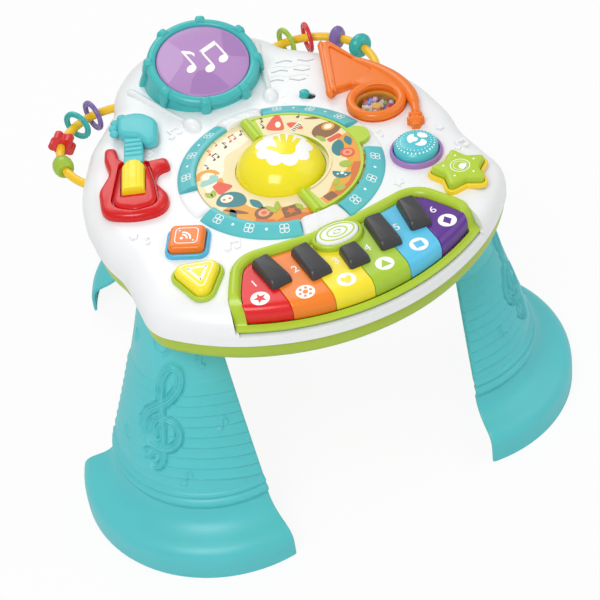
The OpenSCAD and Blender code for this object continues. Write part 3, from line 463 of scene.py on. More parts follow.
def note(flag):
    """A note 18 units tall, as print outlines."""
    c, s = cos(0.4), sin(0.4)
    out = [[(x * c - y * s, x * s + y * c) for x, y in ellipse(4.2, 3.1, 20)],
           [(2.6, 0.6), (4.2, 1.2), (4.2, 18), (2.6, 18)]]
    if flag:
        out.append([(4.2, 18), (4.2, 14.2), (7.4, 11.6), (8.2, 8.2), (9.6, 11.2), (8.0, 14.6), (5.6, 16.6)])
    return out


def notes(*rows):
    """Notes, one for each (kind, x, y, turn, scale): 0 plain, 1 with a flag, 2 a beamed pair."""
    beam = [(-3.4, 18.2), (-3.4, 14.4), (11.2, 16.8), (11.2, 20.6)]
    pair = moved(note(0), -6, 0) + moved(note(0), 7, 2.4) + [beam]
    kinds = (note(0), note(1), pair)
    return [lp for kind, *where in rows for lp in moved(kinds[kind], *where)]


def star_pts(r, q):
    """A five-pointed star of outer radius r and inner radius q."""
    turns = [radians(90 + 36 * k) for k in range(10)]
    return [((q if k % 2 else r) * cos(a), (q if k % 2 else r) * sin(a)) for k, a in enumerate(turns)]


def paint(node, mat):
    NODES[node].data.materials.clear()
    NODES[node].data.materials.append(mat)


# ------------------------ shell, tray and keyboard
HALF = [[53, -211, 240], [150, -168, 228], [199, -113, 45], [192, -33, 90], [199, 0, 120], [196, 80, 160],
        [153, 153, 70], [105, 203, 14], [94, 234, 92], [54, 274, 92], [0, 288, 92]]
BODY = HALF + [[-x, y, r] for x, y, r in reversed(HALF) if x > 0]
KEYBED = [[-140, -240, 4], [140, -240, 4], [116, -148, 70], [94, -108, 22], [24, -118, 30], [-24, -118, 30],
          [-94, -108, 22], [-116, -148, 70]]
FRONT_Y = 39.0          # the centre of the keyboard's curved front
FRONT_R = 238.0         # the keys' front edge
KEY_LOW, KEY_TOP = 248.0, 266.0


def shell():
    rim = [(0, 0), (7, 0.2), (14, 0.6), (22, 3), (28, 8), (32, 14.5), (34.2, 22), (35, 30)]
    o = loft("white_shell", stack(BODY, 14, smooth_line(rim, 5), 230), WHITE, node="top_shell", smooth=40)
    front = [p for p in arcs(inset(KEYBED, -12.3), 10) if p[1] < -134]
    holes = [punch(arcs(inset(KEYBED, -9), 10), 241.5), punch(front, 244.4),
             punch(ellipse(23.4, 23.4, 64), 240, at=spot("horn")),
             punch(arcs(rect(9, -5, 5, 4.9)), 259, at=spot("switch"))]
    holes += [punch(ellipse(1.9, 1.9, 20), 262, at=place(x, y)) for x, y in LAMPS]
    for row in range(3):
        for h in (-1, 1):
            wave = [(h * 12 - 9 + k * 2.25, 1.6 * sin(radians(k * 38 + 90 * h))) for k in range(9)]
            wave += [(x, 2.4 + y) for x, y in reversed(wave)]
            holes.append(punch([(x + row * 4 - 4, y + row * 17 - 17) for x, y in wave], 258, at=spot("grille")))
    cut(o, *holes)


def tray():
    rim = [(206, 17), (206.2, 13), (208.2, 8), (211.6, 4.4), (216, 2.8), (222, 2.6), (230.4, 3)]
    loft("lime_tray", stack(BODY, 14, smooth_line(rim, 4)), TRAY, node="bottom_tray", smooth=40)


def key_side(d):
    """The back and sides of the key well, moved in by d, without its two front corners."""
    steps = 16
    full = arcs(inset(KEYBED, d), steps)
    return full[2 * (steps + 1):] + full[:steps + 1]


def evenly(line, n):
    """n points spaced evenly along the line."""
    run = [0.0]
    for a, b in zip(line, line[1:]):
        run.append(run[-1] + (b - a).length)
    out, j = [], 0
    for i in range(n):
        s = run[-1] * i / (n - 1)
        while j < len(run) - 2 and run[j + 1] < s:
            j += 1
        out.append(line[j].lerp(line[j + 1], (s - run[j]) / max(run[j + 1] - run[j], 1e-9)))
    return out


def keyboard_frame():
    """A bead round the keys, closed along their curved front, where it drops with the shell's edge."""
    # distance from the front's centre, highest level
    drape = [(0, 400), (210, 280), (216, 273.5), (222, 271.4), (227, 268.4), (231, 264.4), (235, 258),
             (238, 250.5), (240, 247.9), (243, 247.3), (246.4, 245.8)]
    bead = [(-12, 244.5), (-12, 265.5), (-11.7, 267.6), (-10.8, 269.6), (-9.2, 271), (-7.2, 271.7),
            (-5.2, 271.5), (-3.3, 270.6), (-1.6, 269), (-0.5, 267), (0, 264.6), (0, 243.8)]
    centre = Vector((0, FRONT_Y))
    loops = []
    for d, z in smooth_line(bead, 2):
        R = 246.2 + (239.7 - 246.2) * (d + 12) / 12
        side = [p for p in map(Vector, key_side(d)) if (p - centre).length < R]
        # run both ends on to the front circle
        ends = []
        for p in (side[0], side[-1]):
            t = (Vector((148 * (1 if p.x > 0 else -1), -300)) - p).normalized()
            k = 0.0
            while (p + t * k - centre).length < R and k < 200:
                k += 0.2
            ends.append(p + t * k)
        row = evenly([ends[0]] + side + [ends[1]], 260)
        s0, s1 = (atan2(p.y - FRONT_Y, p.x) for p in (row[-1], row[0]))
        for i in range(1, 80):
            a = s0 + (s1 - s0) * i / 80
            row.append(Vector((R * cos(a), FRONT_Y + R * sin(a))))
        loops.append([(p.x, p.y, min(z, read_off(drape, (p - centre).length))) for p in row])
    piece("lime_keyboard_frame", *skin(loops, low=False), LIME, node="keyboard_frame", smooth=50)
    collar = [(262, 0), (268.6, 0), (270.4, 0.5), (271.6, 1.5), (272.1, 2.8), (271.6, 3.9), (270, 4.1), (256, 4.1)]
    loft("lime_mode_collar", [(z, ellipse(26.6 - d, 19.1 - d, 64)) for z, d in collar], LIME, at=spot("mode"),
         high=False, low=False)


def key(k):
    """One key, open below: a rounded front edge on the circle and a back edge along the well."""
    xa, xb = (k - 3) * 40 + 0.4, (k - 2) * 40 - 0.4
    back = sorted(key_side(0.8), key=lambda p: p[0])
    # distance from the front edge, height
    nose = [(0.0, KEY_LOW), (0.0, 255.0)]
    nose += [(9 - 9 * cos(a), 257 + 9 * sin(a)) for a in [pi / 2 * j / 7 for j in range(8)]]
    cols, rows = 22, 12
    v = []
    for i in range(cols + 1):
        x = xa + (xb - xa) * i / cols
        front = FRONT_Y - sqrt(FRONT_R ** 2 - x * x)
        # past the side of the well a key ends just behind its nose
        deep = max(read_off(back, x) - front - 9 if x <= back[-1][0] else 0, 0.6)
        v += [(x, front + d, z) for d, z in nose]
        v += [(x, front + 9 + deep * (j / rows), KEY_TOP) for j in range(1, rows + 1)]
    m = len(nose) + rows
    f = sheet(cols, m)
    low = {}

    def below(q):
        if v[q][2] <= KEY_LOW + 0.01:
            return q
        if q not in low:
            low[q] = len(v)
            v.append((v[q][0], v[q][1], KEY_LOW))
        return low[q]
    for line in (range(m), range(m - 1, cols * m + m, m), range(cols * m, cols * m + m)):
        for a, b in zip(line, line[1:]):
            if max(v[a][2], v[b][2]) > KEY_LOW + 0.01:
                qa, qb = below(a), below(b)
                f.append(tuple(dict.fromkeys((a, b, qb, qa))))
    o = piece("key_top_%d" % (k + 1), v, f, KEY_COLORS[k], body="key%d" % (k + 1), node="key_%d" % (k + 1),
              smooth=30)
    bevel = o.modifiers.new("edge", "BEVEL")
    bevel.width = 0.0011
    bevel.segments = 3
    bevel.limit_method = "ANGLE"
    bevel.angle_limit = radians(50)
    apply(o, 50)


BADGES = [[star_pts(6.6, 2.9)],
          [ellipse(2.6, 2.6, 24)] + [ellipse(1.5, 1.5, 16, 5.6 * cos(a), 5.6 * sin(a))
                                     for a in [2 * pi * j / 6 for j in range(6)]],
          [smooth_loop([(0, -5.6), (5.4, 0.6), (3.4, 4.6), (0, 2.6), (-3.4, 4.6), (-5.4, 0.6)])],
          [[(-5.4, -4), (5.4, -4), (0, 6)]],
          [[(-4.4, -4.4), (4.4, -4.4), (4.4, 4.4), (-4.4, 4.4)]],
          [[(0, -6.4), (4.6, 0), (0, 6.4), (-4.6, 0)]]]


def number_print(k):
    """A plain number and a round badge with a simple shape on each key."""
    cu = bpy.data.curves.new("number_%d" % (k + 1), "FONT")
    cu.body = str(k + 1)
    cu.size = 0.0135
    cu.align_x = cu.align_y = "CENTER"
    o = link("number_%d" % (k + 1), cu)
    bpy.context.view_layer.update()
    me = bpy.data.meshes.new_from_object(o.evaluated_get(bpy.context.evaluated_depsgraph_get()))
    bpy.data.objects.remove(o)
    digit = [[tuple(me.vertices[i].co * 1000)[:2] for i in p.vertices] for p in me.polygons]
    turn = -(k - 2.5) * 1.5
    nx, ny = ((-97, -139), (-55, -142), (-17, -153), (17, -153), (55, -142), (97, -139))[k]
    x, y = ((-101, -160), (-61, -175), (-20.5, -181), (20.5, -181), (61, -175), (101, -160))[k]
    where = {"body": "key%d" % (k + 1), "at": place(0, 0, KEY_TOP)}
    decal("number_print_%d" % (k + 1), moved(digit, nx, ny, turn), PRINT, **where)
    decal("badge_%d" % (k + 1), [ellipse(9.2, 9.2, 40, x, y)], PRINT, **where)
    decal("badge_shape_%d" % (k + 1), moved(BADGES[k], x, y, turn), KEY_COLORS[k], lift=0.3, thick=0.3, **where)


def black_keys():
    """Five fixed caps; each profile row is height, side inset, front inset, front radius."""
    prof = [(266.4, 0, 0, 3.2), (269, 0.3, 0.8, 3.2), (271.5, 0.8, 2.2, 3), (273.4, 1.6, 3.8, 2.8),
            (274.5, 2.5, 5.2, 2.4), (275, 3.6, 6.6, 2)]
    spans = ((-157, -115.4), (-166.4, -121), (-172.4, -145), (-166.4, -121), (-157, -115.4))
    v, f = [], []
    for k, (front, back) in enumerate(spans):
        a, b = loft_data([(z, arcs(rect(11.5 - s, fr, back - front - s * 0.3, rr, 10 - s, 1.2), 6))
                          for z, s, fr, rr in prof])
        m = place((k - 2) * 37.5, front, 0, (2 - k) * 3)
        gather(v, f, ([tuple(m @ Vector(p)) for p in a], b))
    piece("black_key_caps", v, f, BLACK, node="black_keys", at=Matrix(), smooth=28)


# ------------------------ white relief on the play surface
def bridge(k):
    """Soft white saddle between two teal arcs; the two beside the page's hinge stand higher."""
    half, hinge = (14, 14, 12, 14)[k], k % 2
    high = 9.8 if hinge else 3.4
    cols, rows, inner = 44, 16, 87
    v = []
    for i in range(cols + 1):
        u = 2 * i / cols - 1
        a = radians(90 * k + half * u)
        end = sqrt(max(0.0, 1 - abs(u) ** 8))
        lobe = abs(cos(1.5 * pi * u)) if hinge else 0
        v.append((inner * cos(a), inner * sin(a), TOP - 0.5))
        for j in range(rows + 1):
            t = j / rows
            if t < 0.08:
                h = 0.75 + 0.25 * sin(pi / 2 * t / 0.08)
            else:
                h = sqrt(max(0.0, 1 - ((t - 0.08) / 0.92) ** 2.2))
            r = inner + (20 + 1.7 * lobe) * t
            v.append((r * cos(a), r * sin(a), TOP - 0.3 + high * h * end * (1 - 0.13 * lobe if t > 0.2 else 1)))
    piece("white_bridge_%d" % k, v, sheet(cols, rows + 2), WHITE, smooth=60)


def drumstick(side):
    turn = radians(-17 if side > 0 else 19)
    # distance along the stick, radius: the ball's end, then the stick
    rows = [(12 * sin(radians(a)), 8.6 * cos(radians(a))) for a in range(-80, 61, 10)]
    rows += [(16, 3.4), (30, 3.5), (60, 4.0), (90, 4.4), (97, 4.5), (100, 3.9), (102, 2.4)]
    dx, dy = Vector((-sin(turn), cos(turn)))
    tube("white_drumstick_" + ("right" if side > 0 else "left"),
         [(side * 46 + dx * q, 118 + dy * q, TOP - 0.6) for q, r in rows], [r for q, r in rows], WHITE, sides=24)


def head_arc(x, y):
    return arc(x, y, 4.4, 3.4, range(60, 355, 14))


# a quaver, a beamed pair and a star, each as one outline
RELIEFS = [[[(4.6, 0.5), (4.6, 12.6), (10, 9), (11, 12), (4.6, 17), (2.2, 17)] + head_arc(0, 0)],
           [[(4.4, 0.5), (4.4, 11.8), (15.9, 13.4)] + head_arc(13.8, 2.6) + [(18.3, 3), (18.3, 18), (2.1, 16.2)]
            + head_arc(0, 0)],
           [star_pts(8, 4.2)]]


def reliefs():
    rows = ((-72, 112, 10, 0.62, 1), (-168, -12, -12, 0.5, 2), (-160, -28, 8, 0.42, 0), (-97, -80, -20, 0.55, 1),
            (90, -84, 14, 0.6, 2), (166, -70, -6, 0.55, 1), (112, -8, 24, 0.42, 0), (168, -30, 18, 0.5, 2),
            (-104, 96, 0, 0.4, 0))
    for i, (x, y, turn, k, kind) in enumerate(rows):
        decal("white_relief_%d" % i, moved(RELIEFS[kind], x, y, turn, 1.25 * k), WHITE, lift=1.7, thick=2.2,
              at=place(0, 0, TOP))


# ------------------------ drum and dome
def drum():
    at = place(0, 184, TOP + 26, 0, 14)
    prof = [(46, -60), (69, -60), (67, -40), (64.6, -30), (62.5, -22), (60.8, -15), (59.6, -10.4), (58.9, -8.4),
            (58.9, -7.2), (60.2, -6.2), (60.9, -4.6), (61, -2.4), (60.4, -0.4), (59, 1.2), (57, 2.3), (54.8, 2.6),
            (52.8, 2.1), (51.4, 0.9), (50.7, -0.8), (50.6, -8)]
    revolve("teal_drum_shell", prof, DRUM, n=120, at=at, node="drum_shell", smooth=48)
    # the wall's radius by height; and for each height of a lug its half width, and reach out and into the wall
    wall = [(-60, 69), (-40, 67), (-22, 62.5), (-10, 59.5), (5, 58)]
    lug = [(-62, 4.6, 5.2, 3), (-44, 4.5, 5.2, 3), (-30, 4.4, 5, 3), (-18, 4.2, 4.9, 3), (-13.4, 4.1, 4.8, 3),
           (-12, 4.3, 5, 3), (-11.2, 5.0, 5.8, 3), (-9.6, 5.5, 6.2, 3), (-2, 5.5, 5.6, 4), (1.6, 5.3, 5.0, 4.4),
           (3.2, 4.6, 4.2, 4), (4.2, 3.4, 3, 3), (4.5, 1.8, 1.6, 1.6)]
    v, f = [], []
    for k in range(8):
        a = radians((k + 0.5) * 45)
        secs = []
        for z, w, out, into in lug:
            r = min(w, out) * 0.62
            pts = [(x + read_off(wall, z), y) for x, y in
                   arcs([[-into, -w, 0.6], [out, -w, r], [out, w, r], [-into, w, 0.6]], 5)]
            secs.append((z, [(x * cos(a) - y * sin(a), x * sin(a) + y * cos(a)) for x, y in pts]))
        gather(v, f, loft_data(secs))
    piece("teal_drum_lugs", v, f, DRUM, at=at, smooth=38)
    head = [(50.3, -9), (50.3, -1.6), (50.0, -0.5), (49.2, 0.1), (48, 0.35), (40, 0.6), (25, 0.95), (10, 1.15),
            (0, 1.2)]
    revolve("purple_drum_head", head, HEAD, n=120, body="drumskin", at=at, node="drum_head", smooth=40)

    def crown(x, y):
        return 1.2 - 0.85 * (x * x + y * y) / 48.0 ** 2

    def edge(a0, a1):
        return arc(0, 0, 47.6, 47.6, [a0 + (a1 - a0) * i / 20 for i in range(21)])
    # A paler crescent of the head's purple on the left is a painted highlight; darker crescents along the rim at
    # the front and right are painted shade; the notes are print.
    for name, loops, mat, lift in (
            ("painted_highlight_patch", [edge(118, 196) + [(-30, -2), (-19, 8), (-14, 20), (-18, 32)]],
             plastic("pale_purple_painted_highlight", "#C09BCD"), 0.06),
            ("painted_shade_patch", [edge(228, 282) + [(4, -26), (-2, -14), (-12, -12), (-22, -20)],
                            edge(-20, 40) + [(30, 14), (26, 2), (30, -8)]],
             plastic("deep_purple_painted_shade", "#A67BB8"), 0.06),
            ("notes", notes((1, -16, -6, 8, 1.5), (2, 11, -13, 8, 1.5)), PRINT, 0.14)):
        decal("drum_" + name, loops, mat, body="drumskin", at=at, z=crown, lift=lift, thick=0.2)


def dome():
    rim_r, rim_z, rise = 45.4, 267.4, 28.6

    def top(x, y):
        return rim_z + rise * max(0.0, 1 - (hypot(x, y) / rim_r) ** 2.5) ** 0.62
    prof = [(46, 258), (46, 267), (45.7, rim_z)]
    prof += [(r, top(r, 0)) for r in (rim_r * cos(pi / 2 * i / 36) for i in range(37))]
    revolve("yellow_dome", prof, YELLOW, n=144, body="dome", node="dome_button", smooth=30)
    cx, cy, turn = 6.0, 0.0, -24
    splash = []
    for i in range(180):
        a = 2 * pi * i / 180
        r = 24.5 + 4.6 * abs(sin(4.5 * a)) ** 0.8
        splash.append((cx + r * cos(a), cy + r * sin(a)))
    hand = [arcs([[-6.2, -9, 4.6], [5.6, -9, 4.6], [6.6, 3.4, 3], [-6.6, 3.4, 3]], 6)]
    # half width, length, and where and how they stand on the palm
    fingers = ((1.75, 11.5, -4.9, 1.6, 13), (1.85, 13.6, -1.5, 2.6, 3), (1.85, 12.8, 2.1, 2.2, -8),
               (1.7, 10, 5.2, 0.8, -22), (1.9, 9.6, -5.0, -4.6, 58))
    for w, long, x, y, lean in fingers:
        hand += moved([arcs(rect(w, 0, long, 0.5, r1=w * 0.99), 6)], x, y, lean)
    decal("dome_splash", [splash], PRINT, body="dome", z=top, lift=0.08, cell=2.5)
    decal("dome_hand", moved(hand, cx + 2, cy - 3, turn, 1.5), YELLOW, body="dome", z=top, lift=0.2, cell=2.5)


# ------------------------ ring, disc and page
def sector(a0, a1, r0, r1, n=24):
    """Outline between two radii, which may be functions of the angle."""
    def at(r, a):
        q = r(a) if callable(r) else r
        return q * cos(radians(a)), q * sin(radians(a))
    A = [a0 + (a1 - a0) * i / n for i in range(n + 1)]
    return [at(r1, a) for a in A] + [at(r0, a) for a in reversed(A)]


def ring():
    """White motifs on the teal arcs: flowers with dots between them."""
    paint("ring_arcs", RING)
    prof = [(87, 6.4), (88.4, 7.2), (92, 6.8), (102, 3.4), (105, 1.8), (106, 0)]
    mid = 96.2
    loops = []
    for c in (45, 136, 225, 315):
        for d in (-21, 0, 21):
            a = radians(c + d)
            x, y = mid * cos(a), mid * sin(a)
            for p in range(4):
                w = a + pi / 4 + pi / 2 * p
                loops += ribbon(ellipse(2.5, 2.5, 16, x + 3.0 * cos(w), y + 3.0 * sin(w)), 0.7, close=True)
            loops.append(ellipse(0.9, 0.9, 10, x, y))
        for d in (-10.5, 10.5):
            a = radians(c + d)
            loops.append(ellipse(1.45, 1.45, 14, mid * cos(a), mid * sin(a)))
    decal("ring_motifs", loops, PRINT, z=lambda x, y: TOP + read_off(prof, hypot(x, y)), lift=0.12, thick=0.2,
          cell=999)


ART = {"cream": "#F2E2B2", "hill": "#EBA22E", "rust": "#D8702A", "brown": "#8B5A34", "dark": "#3B2D22",
       "teal": "#1F7F88", "coral": "#E8573A", "leaf": "#A9BE3A", "pink": "#F0A27C", "pale": "#FBF3DC",
       "sky": "#9CCFC6"}
ART = {k: plastic("picture_" + k, c, 0.34, 0.05) for k, c in ART.items()}


def leaves(*rows):
    """Leaf shapes, one for each (length, half width, x, y, turn)."""
    return [lp for l, w, x, y, turn in rows
            for lp in moved([smooth_loop([(0, 0), (w, l * 0.45), (0, l), (-w, l * 0.45)], 5)], x, y, turn)]


def blob(x, y, turn, *pts):
    return moved([smooth_loop(pts, 5)], x, y, turn)


def slab(x, y, turn, n, *corners):
    """A rounded block; the last numbers are those of rect."""
    return moved([arcs(rect(*corners), n)], x, y, turn)


def dish(r, x, y, turn):
    return moved([sector(0, 180, 0.1, r, 20)], x, y, turn)


def wavy(r, high, times):
    return lambda a: r + high * sin(radians(a * times))


def picture(prefix, items, body, at):
    for i, (col, level, loops) in enumerate(items):
        decal("%s_%02d" % (prefix, i), loops, ART[col], body=body, at=at, lift=0.05 + 0.09 * level, thick=0.12)


def disc_art():
    """Colour, level and outlines of each print on the disc, under the page too."""
    paint("picture_disc", ART["cream"])
    items = [
        ("pale", 0, [sector(97, 176, wavy(60, 2, 9), 80)]),
        ("hill", 1, [sector(200, 268, lambda a: wavy(64, 4, 7)(a) + 3 * sin(radians(a * 3)), 85)]),
        ("rust", 2, [sector(226, 268, wavy(76, 3, 11), 85)]),
        ("hill", 1, moved([sector(20, 200, 8, 13)], -69, 27, -24) + leaves((16, 3.4, -58, 20, 150))),
        ("sky", 2, blob(-70, 20, 10, (-11, 0), (-6, 6), (1, 4), (6, 8), (11, 2), (6, -4), (-5, -3))),
        ("coral", 2, slab(-64, 5, 20, 4, 10, -8, 9, 3, 5)),
        ("teal", 3, blob(-63, -18, -34, (-15, -7), (-13, 6), (-3, 12), (9, 9), (15, -2), (9, -10), (-6, -11))),
        ("pale", 4, [ellipse(6.6, 6, 30, -67, -14)]),
        ("coral", 5, [ellipse(1.5, 1.5, 12, -70, -14), ellipse(1.5, 1.5, 12, -64, -15)]),
        ("teal", 4, leaves((20, 4.4, -48, -28, 196), (17, 3.6, -70, -30, 170))),
        ("brown", 4, [ellipse(9.6, 9, 32, -45, -54)] + leaves((27, 2.4, -58, -46, 46))
         + slab(-21, -66, -8, 4, 9, -8, 8, 2, 8)),
        ("pink", 5, [ellipse(6, 5.6, 28, -45, -54)]),
        ("rust", 6, [ellipse(2.7, 2.7, 20, -45, -54)] + moved([star_pts(6, 2.8)], -21, -66, 4)),
        ("leaf", 5, leaves((15, 3.4, -34, -60, 20), (14, 3.2, -32, -58, -24), (12, 3, -10, -70, 12),
                           (11, 3, -78, -4, 20), (11, 3, -77, -4, -22))),
        ("hill", 3, dish(7.5, -33, -70, 12)),
        ("dark", 1, notes((1, -33, 62, 12, 0.5), (1, -11, 72, -8, 0.42), (2, -49, 50, 8, 0.42),
                          (1, -63, 41, 20, 0.38))),
        ("coral", 1, notes((2, -22, 68, 4, 0.46), (1, -52, 60, 10, 0.44), (0, -40, 70, 12, 0.38))),
    ]
    picture("disc_art", items, "table", place(0, 0, TOP + 3.2))
    # the half that shows when the page is turned over
    hidden = [(c, 0.5 * level, loops) for c, level, loops in items if c != "dark"]
    picture("disc_back_art", hidden, "table", place(0, 0, TOP + 3.2, 180))


def page_art():
    """The page's two faces carry the same prints."""
    paint("page_flap", PAGE)
    keys = [[(x, -2.6), (x + 1.2, -2.6), (x + 1.2, 1.4), (x, 1.4)] for x in (-6.4, -3.7, -1.0, 1.7, 4.4)]
    items = [
        ("cream", 0, [sector(-82.5, 82.5, 52, 81.6, 60)]),
        ("cream", 9.5, [sector(-80, 80, 49.8, 52.4, 60)]),
        ("hill", 1, [sector(-82, 6, wavy(66, 4, 8), 81.4)]),
        ("rust", 2, [sector(-70, -30, wavy(75, 2, 12), 81.4)]),
        ("coral", 2, blob(26, 63, -30, (-9, -9), (8, -11), (7, 2), (1, 15), (-6, 6))
         + leaves((20, 5, 36, 57, 210))),
        ("pale", 3, moved([ellipse(3, 5, 20)], 27, 60, -24)),
        ("pale", 4, slab(41, 46, 26, 3, 8, -3, 3, 1)),
        ("dark", 5, moved(keys, 41, 46, 26) + notes((1, 50, 60, -20, 0.42), (0, 12, 64, 6, 0.4),
                                                    (1, 15, 74, 4, 0.36))),
        ("brown", 3, blob(65, 25, 10, (-14, -8), (-15, 4), (-6, 11), (6, 10), (15, 3), (13, -8), (0, -12))),
        ("hill", 4, moved([ellipse(7.2, 6.4, 32)], 69, 28, 10)),
        ("pale", 5, moved([ellipse(4.6, 3.8, 24)], 69, 28, 10)),
        ("coral", 5, slab(66, 8, 10, 3, 8, -3, 3, 2) + [ellipse(7.4, 7.4, 30, 66, -21)]),
        ("pink", 6, [ellipse(5.0, 5.0, 24, 66, -21)]),
        ("teal", 4, blob(60, -8, 60, (-13, -3), (-6, 4), (6, 4), (13, -2), (6, -7), (-6, -7))
         + leaves((16, 4, 77, 4, 170)) + dish(9.5, 47, -45, 140)),
        ("leaf", 4, leaves((14, 3.4, 56, 8, 20)) + moved([ellipse(6.6, 5.4, 24)], 56, -36, -30)
         + leaves((13, 3, 30, -60, -50)) + [ellipse(5.5, 4.6, 24, 34, -66)]),
        ("coral", 7, moved([star_pts(3.4, 1.6)], 66, -21, 10)),
        ("pale", 5, moved([ellipse(2, 2, 14), ellipse(1.2, 1.2, 10, 4, 2), ellipse(1.2, 1.2, 10, -4, 2)],
                          46, -47, 140)),
        ("brown", 3, leaves((22, 2, 74, 44, 64)) + slab(20, -72, 12, 3, 6, -5, 5, 1)),
    ]
    face, middle = 272.4, 270.9
    picture("page_art", items, "page", place(0, 0, face))
    over = Matrix.Translation((0, 0, middle)) @ Matrix.Rotation(pi, 4, "Y") \
        @ Matrix.Translation((0, 0, face - middle))
    items = [(c, level, [[(-x, -y) for x, y in lp] for lp in loops]) for c, level, loops in items]
    picture("page_back_art", items, "page", place() @ over)


# ------------------------ guitar
GUITAR = [[-32, -50, 20], [2, -60, 60], [34, -52, 20], [36, -28, 24], [22, -6, 18], [24, 12, 12], [38, 16, 5],
          [34, 32, 6], [16, 29, 5], [10.8, 31, 1.5], [-10.8, 33, 1.5], [-15, 38, 6], [-19, 56, 5], [-31, 57, 5],
          [-31, 38, 20], [-25, 14, 24], [-36, -12, 26]]
PICKGUARD = [[-22, -40, 15], [2, -48, 14], [25, -43, 13], [21, -8, 16], [13, 27, 4], [-13, 28, 4], [-16, 6, 14]]
HEADSTOCK = [[-16, 71, 12], [4, 65, 4], [14, 52, 6], [25, 55, 8], [26, 90, 20], [6, 108, 22], [-18, 102, 14]]


def guitar():
    """A hollowed body with its guard, and the ribbed saddle, neck and headstock that slide in it."""
    at = spot("guitar")
    deck = loft("red_guitar_body", stack(GUITAR, 7, [(0, 0), (4.2, 0), (6.0, 0.5), (7.4, 1.4), (8.4, 2.6),
                                                     (9.0, 4.0)], TOP),
                RED, at=at, node="guitar_body", smooth=48)
    hollow = stack(PICKGUARD, 7, [(4.6, -1.6), (7.8, -1.6), (9.4, -2.6), (20, -2.6)], TOP)
    cut(deck, cutter(hollow, at))
    cut(deck, punch(arcs(rect(10.6, 4, 70, 0.4), 2), TOP + 4.1, TOP + 22, at))
    guard = loft("red_pickguard", stack(PICKGUARD, 7, [(4.2, 0), (7.0, 0.1), (8.2, 0.6), (9.0, 1.6), (9.6, 3.4),
                                                       (10.0, 5.6)], TOP), RED, at=at, smooth=30)
    cut(guard, punch(arcs(rect(13.2, -29.6, 60, 3, r1=1), 4), TOP + 4.3, TOP + 20, at))
    loft("red_saddle_ramp", [(TOP + 4.1, arcs(rect(12.6, -29, -12, 3, r1=1), 4)),
                             (TOP + 4.9, arcs(rect(12, -28.4, -14, 2.6, r1=1), 4))], RED, at=at)
    slider = {"body": "guitar_slider", "at": at}
    base = TOP + 4.3
    # distance along the saddle, half width: a blunt foot, a straight run and a round nose
    rows = [(-20 + 0.25 * k * k, 12.5) for k in range(4)] + [(-17.6 + 32.6 * k / 12, 12.5) for k in range(13)] \
        + [(15 + 11 * sin(pi / 2 * k / 14), max(12.5 * cos(pi / 2 * k / 14), 0.02)) for k in range(1, 15)]
    cols = 44
    v = []
    for y, half in rows:
        end = min(1.0, ((y + 20) / 2.2) ** 0.5) * (min(1, (half / 7) ** 0.7) if y > 15 else 1)
        slope = 1 - 0.22 * max(0, (-y - 2) / 18)
        for i in range(cols + 1):
            u = sin(pi / 2 * (2 * i / cols - 1))
            rib = 0.5 * (abs(abs(u * half) - 4.6) < 0.75) + 0.4 * (abs(abs(u * half) - 9) < 0.6)
            side = sqrt(max(0, 1 - abs(u) ** 7))
            v.append((u * half, y, base + max((10.4 - 0.9 * u * u) * slope * side * end - rib, 0)))
    m = cols + 1
    f = [(j * m + i, j * m + i + 1, (j + 1) * m + i + 1, (j + 1) * m + i)
         for j in range(len(rows) - 1) for i in range(cols)]
    piece("yellow_guitar_saddle", v, f, SADDLE, node="guitar_saddle", smooth=34, **slider)
    block("teal_guitar_neck", rect(10, 26.4, 70, 1), base, base + 5, 1.2, TEAL, node="guitar_neck", **slider)
    for k in range(4):
        y = 37.6 + 7.2 * k
        block("teal_fret_%d" % (k + 1), rect(9.4, y, y + 5, 1), base + 4.4, base + 6.6, 1.2, TEAL, **slider)
    loft("teal_headstock", stack(HEADSTOCK, 8, [(0, 0), (5, 0), (6.8, 0.5), (8.4, 1.6), (9.6, 3.2), (10.2, 5.0)],
                                 base), TEAL, smooth=50, **slider)
    for i, (x, y) in enumerate(((-20, 78), (-21.5, 87), (-19.5, 96), (-13, 104))):
        revolve("teal_peg_%d" % (i + 1), ball(5.2, 4.4, 3.4), TEAL, n=28, body="guitar_slider",
                at=spot("guitar", base - 0.4) @ Matrix.Translation((x, y, 0)))


